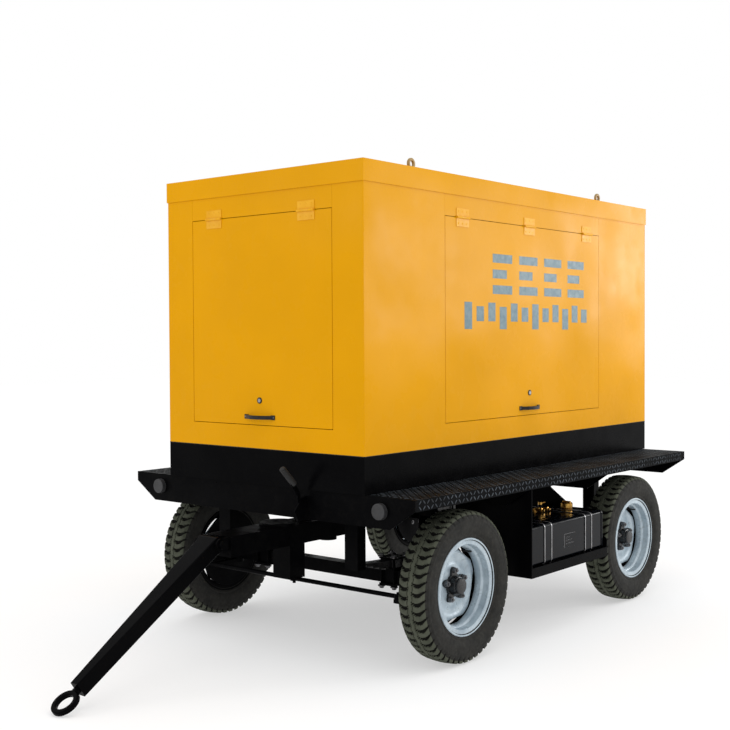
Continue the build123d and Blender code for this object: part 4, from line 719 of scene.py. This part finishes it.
# ------------------------------------------------------------------ walkway pattern
EDGE_MARGIN = 0.012
NUB_BITE = 0.0002
NUB_PITCH = 0.030
NUB_LENGTH = 0.026
NUB_WIDTH = 0.0075
NUB_HEIGHT = 0.0016


def add_nub(build, centre, direction, normal):
    """One raised lens of tread plate."""
    side = normal.cross(direction)
    outline = []
    for i in range(10):
        a = 2 * pi * i / 10
        outline.append((NUB_LENGTH / 2 * cos(a), NUB_WIDTH / 2 * sin(a)))
    low = [build.bm.verts.new(centre + direction * u + side * v) for u, v in outline]
    high = [
        build.bm.verts.new(centre + direction * u * 0.72 + side * v * 0.45 + normal * NUB_HEIGHT)
        for u, v in outline
    ]
    for i in range(10):
        j = (i + 1) % 10
        build.bm.faces.new((low[i], low[j], high[j], high[i]))
    build.bm.faces.new(high)
    build.bm.faces.new(list(reversed(low)))


def walkway_pattern(name, side):
    """Raised lenses over the top of a deck and down its outer skirt."""
    low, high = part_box(f"deck_{name}")
    build = Builder()
    edge = SIDE_X + EDGE_MARGIN
    reach = max(abs(low[0]), abs(high[0]))
    outer = reach - EDGE_MARGIN
    up = Vector((0, 0, 1))
    out = Vector((side, 0, 0))
    diagonals = [Vector((1, 1, 0)).normalized(), Vector((1, -1, 0)).normalized()]
    rows = int((outer - edge) / NUB_PITCH) + 1
    count = int((high[1] - low[1] - NUB_PITCH) / NUB_PITCH)
    for i in range(count):
        y = low[1] + NUB_PITCH + i * NUB_PITCH
        for j in range(rows):
            x = side * (edge + j * (outer - edge) / (rows - 1))
            add_nub(build, Vector((x, y, DECK_TOP - NUB_BITE)), diagonals[(i + j) % 2], up)
        for j in range(2):
            z = low[2] + 0.014 + j * 0.025
            tilt = Vector((0, 1, 1 if (i + j) % 2 else -1)).normalized()
            add_nub(build, Vector((side * (reach - NUB_BITE), y, z)), tilt, out)
    build.finish(f"walkway_tread_{name}", [NUBS], "trailer")


walkway_pattern("left", 1)
walkway_pattern("right", -1)


# ------------------------------------------------------------------ fuel tank trim
TANK_BODY_HEIGHT = 0.203
TANK_CORNER = 0.018
STRAP_WIDTH = 0.072
STRAP_STARTS = (0.168, 0.735)          # as shares of the tank's length
DECK_LIMIT = 0.9295                    # no strap stands further out than this
def tank_trim():
    """Straps, seams, a blank label plate and a drain plug on the tank, with the valves on its top."""
    low, high = Vector(TANK[0]), Vector(TANK[1])
    top = low.z + TANK_BODY_HEIGHT
    corner = TANK_CORNER
    build = Builder()

    def band(y0, y1, rise, slot):
        """A strap right round the tank between two places along it."""
        loops = []
        for grow in (rise, -0.001):
            loop = []
            for cx, cz, start in (
                (high.x - corner, top - corner, 0), (low.x + corner, top - corner, 90),
                (low.x + corner, low.z + corner, 180), (high.x - corner, low.z + corner, 270),
            ):
                loop += arc((cx, cz), corner + grow, start, start + 90, 6)
            loops.append(loop)
        rows = []
        for loop, y in ((loops[1], y0), (loops[0], y0), (loops[0], y1), (loops[1], y1)):
            rows.append([Vector((min(x, DECK_LIMIT), y, z)) for x, z in loop])
        build.grid(rows, closed_rows=True, closed_columns=True, slot=slot)

    length = high.y - low.y
    for start in STRAP_STARTS:
        y = low.y + start * length
        band(y, y + STRAP_WIDTH, 0.0018, 0)
        # a raised ridge in bright steel at each strap edge: painted highlight of the glossy pressed beads
        # beside the strap
        for edge in (y, y + STRAP_WIDTH - 0.004):
            band(edge, edge + 0.005, 0.0042, 1)
    # rolled seams where the end caps are folded on
    for y in (low.y + 0.003, high.y - 0.013):
        band(y, y + 0.010, 0.0035, 0)
    # blank label plate with a raised border
    label_y = low.y + 0.44 * length
    plate_low = (high.x - 0.001, label_y, low.z + 0.055)
    plate_high = (high.x + 0.0015, label_y + 0.115, low.z + 0.125)
    build.box(plate_low, plate_high, 0.0007, 1, slot=1)
    field_low = (high.x, label_y + 0.005, low.z + 0.060)
    field_high = (high.x + 0.0019, label_y + 0.110, low.z + 0.120)
    build.box(field_low, field_high, 0.0005, 1, slot=0)
    for i in range(3):
        z = low.z + 0.070 + i * 0.016
        bar_high = (high.x + 0.0023, label_y + 0.100 - 0.02 * i, z + 0.006)
        build.box((high.x + 0.001, label_y + 0.015, z), bar_high, 0.0004, 1, slot=1)
    # drain plug below
    plug = (high.x - 0.20, low.y + 0.30 * length, low.z + 0.002)
    build.turned(plug, (0, 0, -1), [(0, 0.012), (0.010, 0.012), (0.012, 0.009)], 24, 1)
    build.finish("tank_straps", [TANK_BLACK, STEEL], "trailer")

    # brass valves and unions on top of the tank
    build = Builder()
    cock = middle("fuel_cock_lever")
    foot = [(0, 0.015), (0.006, 0.015), (0.008, 0.011), (0.022, 0.010)]
    outlet = [(-0.004, 0.008), (0.034, 0.008), (0.036, 0.011), (0.046, 0.011), (0.048, 0.006), (0.060, 0.006)]
    link = [(0, 0.006), (0.02, 0.006), (0.021, 0.010), (0.034, 0.010), (0.036, 0.007), (0.062, 0.007)]
    collar = [(0, 0.034), (0.004, 0.034), (0.006, 0.028), (0.009, 0.026)]
    for offset in (0.0, -0.060):
        x, y = cock.x, cock.y + offset - 0.012
        build.turned((x, y, top - 0.004), (0, 0, 1), foot, 6)
        build.turned((x, y, top + 0.012), (1, 0, 0), outlet, 20)
    build.turned((cock.x, cock.y - 0.088, top + 0.012), (0, 1, 0), link, 20)
    cap = middle("fuel_cap")
    build.turned((cap.x, cap.y, top - 0.003), (0, 0, 1), collar, 40)
    build.finish("tank_valves", [BRASS], "trailer")


tank_trim()


# ------------------------------------------------------------------ canopy trim
def door_marks():
    """Plain blue blocks where the left door carries its painted marking."""
    low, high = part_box("left_door")
    build = Builder()
    length = high[1] - low[1]
    height = high[2] - low[2]

    def patch(start, end, bottom, top):
        y0, y1 = low[1] + start * length, low[1] + end * length
        z0, z1 = low[2] + bottom * height, low[2] + top * height
        build.box((SIDE_X - 0.0002, y0, z0), (SIDE_X + 0.0004, y1, z1), 0.00015, 1)

    # four blocks of three level bars, above a row of narrow upright bars
    for i in range(4):
        start = 0.270 + i * 0.165
        for bottom, share in ((0.795, 1.0), (0.715, 0.72), (0.635, 1.0)):
            patch(start, start + 0.120 * share, bottom, bottom + 0.045)
    for i in range(12):
        start = 0.105 + i * 0.069
        patch(start, start + 0.043, 0.495 if i % 3 else 0.455, 0.570 if i % 2 else 0.590)
    build.finish("door_marks", [BLUE], "left_door_leaf")


door_marks()


def hinge_screws():
    """Screws in the hinge leaves and nuts at the handles, on the body that each one moves with."""
    side_offsets = (-0.626, 0, 0.626)
    left_at = Vector((SIDE_X, middle("left_door").y, 0))
    right_at = Vector((-SIDE_X, middle("right_door").y, 0))
    sides = {
        "front": (Vector((0, FRONT_Y, 0)), Vector((1, 0, 0)), Vector((0, -1, 0)), (-0.310, 0.310)),
        "left": (left_at, Vector((0, 1, 0)), Vector((1, 0, 0)), side_offsets),
        "right": (right_at, Vector((0, -1, 0)), Vector((-1, 0, 0)), side_offsets),
    }
    screw = [(-0.001, 0.0046), (0.0008, 0.0044), (0.0014, 0.0028), (0.0014, 0.0001)]
    nut = [(-0.001, 0.0052), (0.0015, 0.005), (0.0026, 0.003), (0.0026, 0.0001)]
    fixed = Builder()
    hinge_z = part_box("front_door")[1][2] + 0.0015
    for name, (origin, right, out, offsets) in sides.items():
        moving = Builder()
        for offset in offsets:
            for step in (-0.036, 0, 0.036):
                for build, z in ((fixed, hinge_z + 0.030), (moving, hinge_z - 0.030)):
                    spot = origin + right * (offset + step) + out * 0.003 + Vector((0, 0, z))
                    build.turned(spot, out, screw, 16)
        # round nuts where the handle is bolted on
        handle_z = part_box(f"{name}_door_fittings")[0][2] + 0.011
        for end in (-0.094, 0.094):
            spot = origin + right * end + out * 0.003 + Vector((0, 0, handle_z))
            moving.turned(spot, out, nut, 18, 1)
        moving.finish(f"hinge_screws_{name}_door", [HINGE, DULL_STEEL], f"{name}_door_leaf")
    fixed.finish("hinge_screws_fixed", [HINGE], "trailer")


hinge_screws()


def canopy_seams():
    """Folded corner beads, and a rubber strip under the canopy."""
    build = Builder()
    low = CANOPY[0][2]
    corner_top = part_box("roof_lid")[0][2] + 0.03
    for x in (-SIDE_X, SIDE_X):
        for y in (FRONT_Y, REAR_Y):
            hand_x = 1 if x > 0 else -1
            hand_y = 1 if y > 0 else -1
            at = (x - hand_x * 0.0035, y - hand_y * 0.0035)
            build.pipe([(*at, low + 0.001), (*at, corner_top)], 0.0042, 16)
    build.finish("canopy_corners", [YELLOW], "trailer")
    build = Builder()
    z = low + 0.0004
    for a, b in (((-SIDE_X, FRONT_Y), (SIDE_X, FRONT_Y)), ((SIDE_X, FRONT_Y), (SIDE_X, REAR_Y)),
                 ((SIDE_X, REAR_Y), (-SIDE_X, REAR_Y)), ((-SIDE_X, REAR_Y), (-SIDE_X, FRONT_Y))):
        build.pipe([(a[0], a[1], z), (b[0], b[1], z)], 0.0016, 8)
    build.finish("canopy_sill_seal", [RUBBER], "trailer")


canopy_seams()


# ------------------------------------------------------------------ chassis trim
SPRING_X = 0.430
CLAMP_TOP = 0.4585
LAMP_X = 0.740
LAMP_Z = 0.761
def chassis_trim():
    """Bolts of the axle clamps, and a bezel round each marker lamp."""
    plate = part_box("front_axle")
    build = Builder()
    # clamp bolts on both axles
    for y in (middle("front_axle").y, middle("rear_axle").y):
        for x in (-SPRING_X, SPRING_X):
            for bx in (x - 0.039, x + 0.039):
                for by in (y - 0.043, y + 0.043):
                    build.bolt((bx, by, plate[0][2] - 0.012), (0, 0, -1), 0.020, 0.013)
                    build.bolt((bx, by, CLAMP_TOP), (0, 0, 1), 0.020, 0.013)
    build.finish("frame_bolts", [DULL_STEEL], "trailer")

    build = Builder()
    bezel = [(-0.0004, 0.030), (-0.0008, 0.0335), (0.000, 0.0365), (0.016, 0.0372), (0.0205, 0.0385)]
    for node_y, way in ((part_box("marker_lamps")[0][1], -1), (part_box("marker_lamps")[1][1], 1)):
        for x in (-LAMP_X, LAMP_X):
            at = (x, node_y, LAMP_Z)
            build.turned(at, (0, -way, 0), bezel, 40)
    build.finish("lamp_bezels", [BLACK_PLASTIC], "trailer")


chassis_trim()


def brake_details():
    """Ribbed rubber grip on the hand brake."""
    pivot = middle("handbrake_lever")
    low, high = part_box("handbrake_lever")
    build = Builder()
    top = Vector((pivot.x, low[1] + 0.0095, high[2] - 0.010))
    way = Vector((0, 0.082, -0.082)).normalized()
    profile = [(-0.004, 0.001), (-0.003, 0.010), (0.001, 0.0145)]
    for i in range(18):
        profile += [(0.005 + i * 0.0055, 0.0152), (0.0078 + i * 0.0055, 0.0142)]
    profile += [(0.106, 0.0155), (0.110, 0.0150), (0.111, 0.008)]
    build.turned(top, way, profile, 28)
    build.finish("brake_grip", [RUBBER], "brake_lever")


brake_details()


# ------------------------------------------------------------------ generating set details
CYLINDERS = 6
CYLINDER_PITCH = 0.115
FIN_PLACES = 36
def engine_details():
    """Injection pump and pipes, filter, dipstick, side covers, manifold branches, bolts and filler."""
    build = Builder()
    shaft_z = middle("rotor_shaft").z
    y0, y1 = FRONT_Y + 1.50, FRONT_Y + 2.24
    head_z = shaft_z + 0.225
    cover_z = shaft_z + 0.366
    # injectors and their pipes along the head's left side
    pump = Vector((0.235, y0 + 0.26, shaft_z + 0.02))
    build.box(pump - Vector((0.042, 0.16, 0.06)), pump + Vector((0.042, 0.16, 0.06)), 0.010, 3, slot=1)
    injector = [(0, 0.013), (0.04, 0.013), (0.042, 0.008), (0.07, 0.008)]
    for i in range(CYLINDERS):
        y = y0 + 0.09 + i * CYLINDER_PITCH
        build.turned((0.125, y, head_z + 0.03), (0.35, 0, 1), injector, 20, 1)
        start = Vector((0.235, y0 + 0.12 + i * 0.056, shaft_z + 0.078))
        end = Vector((0.152, y, head_z + 0.095))
        over = start.lerp(end, 0.5) + Vector((0.055, 0, 0.03))
        bow = [start, start + Vector((0.012, 0, 0.05)), over, end + Vector((0.04, 0, 0.02)), end]
        build.pipe(bow, 0.0035, 10, 1)
    # oil filter, dipstick tube and side covers
    canister = [(0, 0.030), (0.004, 0.045), (0.13, 0.045), (0.14, 0.038), (0.15, 0.030)]
    build.turned((0.245, y1 - 0.16, shaft_z - 0.12), (0, 0, 1), canister, 40, 2)
    dipstick = [(0.20, y1 - 0.30, shaft_z - 0.15), (0.23, y1 - 0.31, shaft_z)]
    dipstick.append((0.245, y1 - 0.32, shaft_z + 0.12))
    build.pipe(dipstick, 0.006, 12, 1)
    cover = [(-0.002, 0.026), (0.004, 0.026), (0.006, 0.022), (0.006, 0.0)]
    for side in (-1, 1):
        for i in range(CYLINDERS):
            spot = (side * 0.190, y0 + 0.06 + i * 0.118, shaft_z - 0.075)
            build.turned(spot, (side, 0, 0), cover, 32, 0)
    # exhaust manifold with a branch for each cylinder
    branch = [(0, 0.030), (0.006, 0.030), (0.008, 0.022), (0.05, 0.022)]
    for i in range(CYLINDERS):
        spot = (-0.140, y0 + 0.07 + i * CYLINDER_PITCH, head_z + 0.065)
        build.turned(spot, (-1, 0, 0), branch, 24, 3)
    # rocker cover bolts and filler
    for i in range(4):
        build.bolt((0, y0 + 0.10 + i * 0.16, cover_z), (0, 0, 1), 0.019, 0.012, 1)
    filler = [(0, 0.026), (0.02, 0.026), (0.022, 0.032), (0.036, 0.032), (0.038, 0.027)]
    build.turned((0.05, y1 - 0.10, cover_z), (0, 0, 1), filler, 28, 2)
    build.finish("engine_fittings", [ENGINE, STEEL, BLACK_PLASTIC, EXHAUST], "trailer")


engine_details()


def alternator_details():
    """Cooling fins round the frame, a screwed lid on the terminal box, and a blank data plate."""
    centre = middle("alternator")
    axis_z = middle("rotor_shaft").z
    build = Builder()
    for i in range(FIN_PLACES):
        a = 2 * pi * i / FIN_PLACES
        if -0.62 < sin(a) < 0.55:
            direction = Vector((cos(a), 0, sin(a)))
            spot = Vector((0, centre.y, axis_z)) + direction * 0.232
            turn = Matrix.Rotation(-a, 4, "Y")
            half = Vector((0.010, 0.26, 0.0025))
            build.box(spot - half, spot + half, 0.0012, 1, turn)
    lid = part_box("alternator")[1][2]
    build.box((-0.156, centre.y - 0.166, lid - 0.002), (0.156, centre.y + 0.166, lid + 0.004), 0.002, 2)
    for x in (-0.140, 0.140):
        for y in (-0.15, 0.15):
            build.bolt((x, centre.y + y, lid + 0.004), (0, 0, 1), 0.012, 0.007, 1)
    plate_low, plate_high = (0.1498, centre.y - 0.06, lid - 0.16), (0.1516, centre.y + 0.06, lid - 0.08)
    build.box(plate_low, plate_high, 0.0006, 1, slot=1)
    build.finish("alternator_fins", [ALTERNATOR, STEEL], "trailer")


alternator_details()


def control_panel_details():
    """Instruments on the control box: four dials, a display, a row of lamps and panel screws."""
    low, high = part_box("control_box")
    face = low[1]
    build = Builder()
    out = Vector((0, -1, 0))
    top = high[2]
    bezel = [(-0.001, 0.046), (0.007, 0.046), (0.009, 0.043), (0.009, 0.040), (0.004, 0.0395)]
    lamp = [(-0.001, 0.009), (0.004, 0.009), (0.008, 0.006), (0.0095, 0.0001)]
    screw = [(-0.001, 0.006), (0.002, 0.0055), (0.003, 0.003), (0.003, 0.0001)]
    for x in (-0.20, -0.07, 0.07, 0.20):
        spot = (x, face, top - 0.10)
        build.turned(spot, out, bezel, 48, 0)
        build.turned(spot, out, [(0.0, 0.039), (0.0045, 0.039), (0.0046, 0.0001)], 48, 1)
        angle = radians(210 - 180 * (x + 0.25))
        tip = Vector(spot) + Vector((0.030 * cos(angle), -0.0055, 0.030 * sin(angle)))
        build.pipe([Vector(spot) + Vector((0, -0.0055, 0)), tip], 0.0010, 8, 2)
        for i in range(11):
            a = radians(-30 + 24 * i)
            inner = Vector(spot) + Vector((0.032 * cos(a), -0.0048, 0.032 * sin(a)))
            outer = Vector(spot) + Vector((0.037 * cos(a), -0.0048, 0.037 * sin(a)))
            build.pipe([inner, outer], 0.0005, 6, 0)
    build.box((-0.09, face - 0.010, top - 0.30), (0.05, face + 0.001, top - 0.19), 0.004, 3, slot=0)
    build.box((-0.075, face - 0.0112, top - 0.285), (0.035, face - 0.009, top - 0.22), 0.001, 1, slot=3)
    for i in range(6):
        spot = (-0.25 + 0.024 * i, face, top - 0.24)
        build.turned(spot, out, lamp, 24, 2 if i % 2 else 3)
    for x in (low[0] + 0.02, high[0] - 0.02):
        for z in (top - 0.02, top - 0.25, top - 0.48):
            build.turned((x, face, z), out, screw, 20, 4)
    build.finish("control_instruments", [BLACK_PLASTIC, WHITE, RED, BLUE, STEEL], "trailer")


control_panel_details()


def battery_details():
    """Cell caps, the two posts and the clamp bar across the battery."""
    low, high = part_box("battery")
    build = Builder()
    tray_sheet, case_height = 0.003, 0.215
    top = low[2] + tray_sheet + case_height
    cell_cap = [(-0.001, 0.013), (0.004, 0.013), (0.006, 0.010), (0.006, 0.0001)]
    for i in range(6):
        y = low[1] + 0.055 + i * 0.048
        build.turned((0.515, y, top), (0, 0, 1), cell_cap, 24, 0)
    for y, slot in ((low[1] + 0.057, 1), (high[1] - 0.057, 2)):
        build.turned((0.450, y, top), (0, 0, 1), [(0.006, 0.016), (0.014, 0.016), (0.015, 0.012)], 24, slot)
    build.box((0.400, low[1] + 0.03, top - 0.035), (0.585, high[1] - 0.03, top - 0.025), 0.002, 2, slot=3)
    build.finish("battery_caps", [RUBBER, RED, BLACK_PLASTIC, DULL_STEEL], "trailer")


battery_details()


def muffler_details():
    """Strap round each end of the silencer."""
    build = Builder()
    y0 = FRONT_Y + 1.59
    axis = Vector((-0.250, 0, 1.912))
    strap = [(0, 0.090), (0.0005, 0.0935), (0.028, 0.0935), (0.0285, 0.090)]
    for y in (y0 + 0.02, y0 + 0.46):
        build.turned((axis.x, y, axis.z), (0, 1, 0), strap, 60)
    build.finish("muffler_bands", [EXHAUST], "trailer")


muffler_details()


# ------------------------------------------------------------------ studio
def studio():
    """Pale floor, white surroundings and four softboxes."""
    mesh = bpy.data.meshes.new("floor")
    size = 30.0
    corners = [(-size, -size, 0), (size, -size, 0), (size, size, 0), (-size, size, 0)]
    mesh.from_pydata(corners, [], [(0, 1, 2, 3)])
    floor = bpy.data.objects.new("floor", mesh)
    floor.location.z = -0.0005
    mesh.materials.append(floor_material())
    bpy.context.scene.collection.objects.link(floor)

    world = bpy.data.worlds.new("studio")
    world.use_nodes = True
    world.node_tree.nodes["Background"].inputs["Color"].default_value = (1, 1, 1, 1)
    world.node_tree.nodes["Background"].inputs["Strength"].default_value = 1.0
    bpy.context.scene.world = world

    def softbox(name, place, target, size, energy):
        light = bpy.data.lights.new(name, "AREA")
        light.shape = "RECTANGLE"
        light.size, light.size_y = size
        light.energy = energy
        lamp = bpy.data.objects.new(name, light)
        lamp.location = place
        lamp.rotation_euler = (Vector(target) - Vector(place)).to_track_quat("-Z", "Y").to_euler()
        bpy.context.scene.collection.objects.link(lamp)

    softbox("key", (5.6, 5.9, 2.5), (0.65, -0.4, 1.8), (1.5, 1.5), 95)
    softbox("back", (4.0, 8.6, 2.5), (0.65, 1.8, 1.8), (1.5, 1.5), 95)
    softbox("fill", (-3.5, -6.5, 3.4), (0, -0.6, 1.2), (2.4, 1.4), 30)
    softbox("top", (1.2, -0.5, 6.5), (0, 0.2, 1.5), (4.0, 4.0), 40)


def camera():
    """Off the left front corner, about level with the middle of the canopy."""
    data = bpy.data.cameras.new("camera")
    data.lens = 56.98
    data.sensor_width = 36.0
    rig = bpy.data.objects.new("camera", data)
    rig.location = (3.946, FRONT_Y - 3.962, 1.528)
    azimuth, elevation, roll = radians(39.664), radians(1.32), radians(-0.29)
    way = Vector((-sin(azimuth) * cos(elevation), cos(azimuth) * cos(elevation), -sin(elevation)))
    rotation = way.to_track_quat("-Z", "Y").to_matrix().to_4x4() @ Matrix.Rotation(roll, 4, "Z")
    rig.rotation_euler = rotation.to_euler()
    bpy.context.scene.collection.objects.link(rig)
    bpy.context.scene.camera = rig


studio()
camera()
bpy.context.scene.view_settings.view_transform = "Standard"
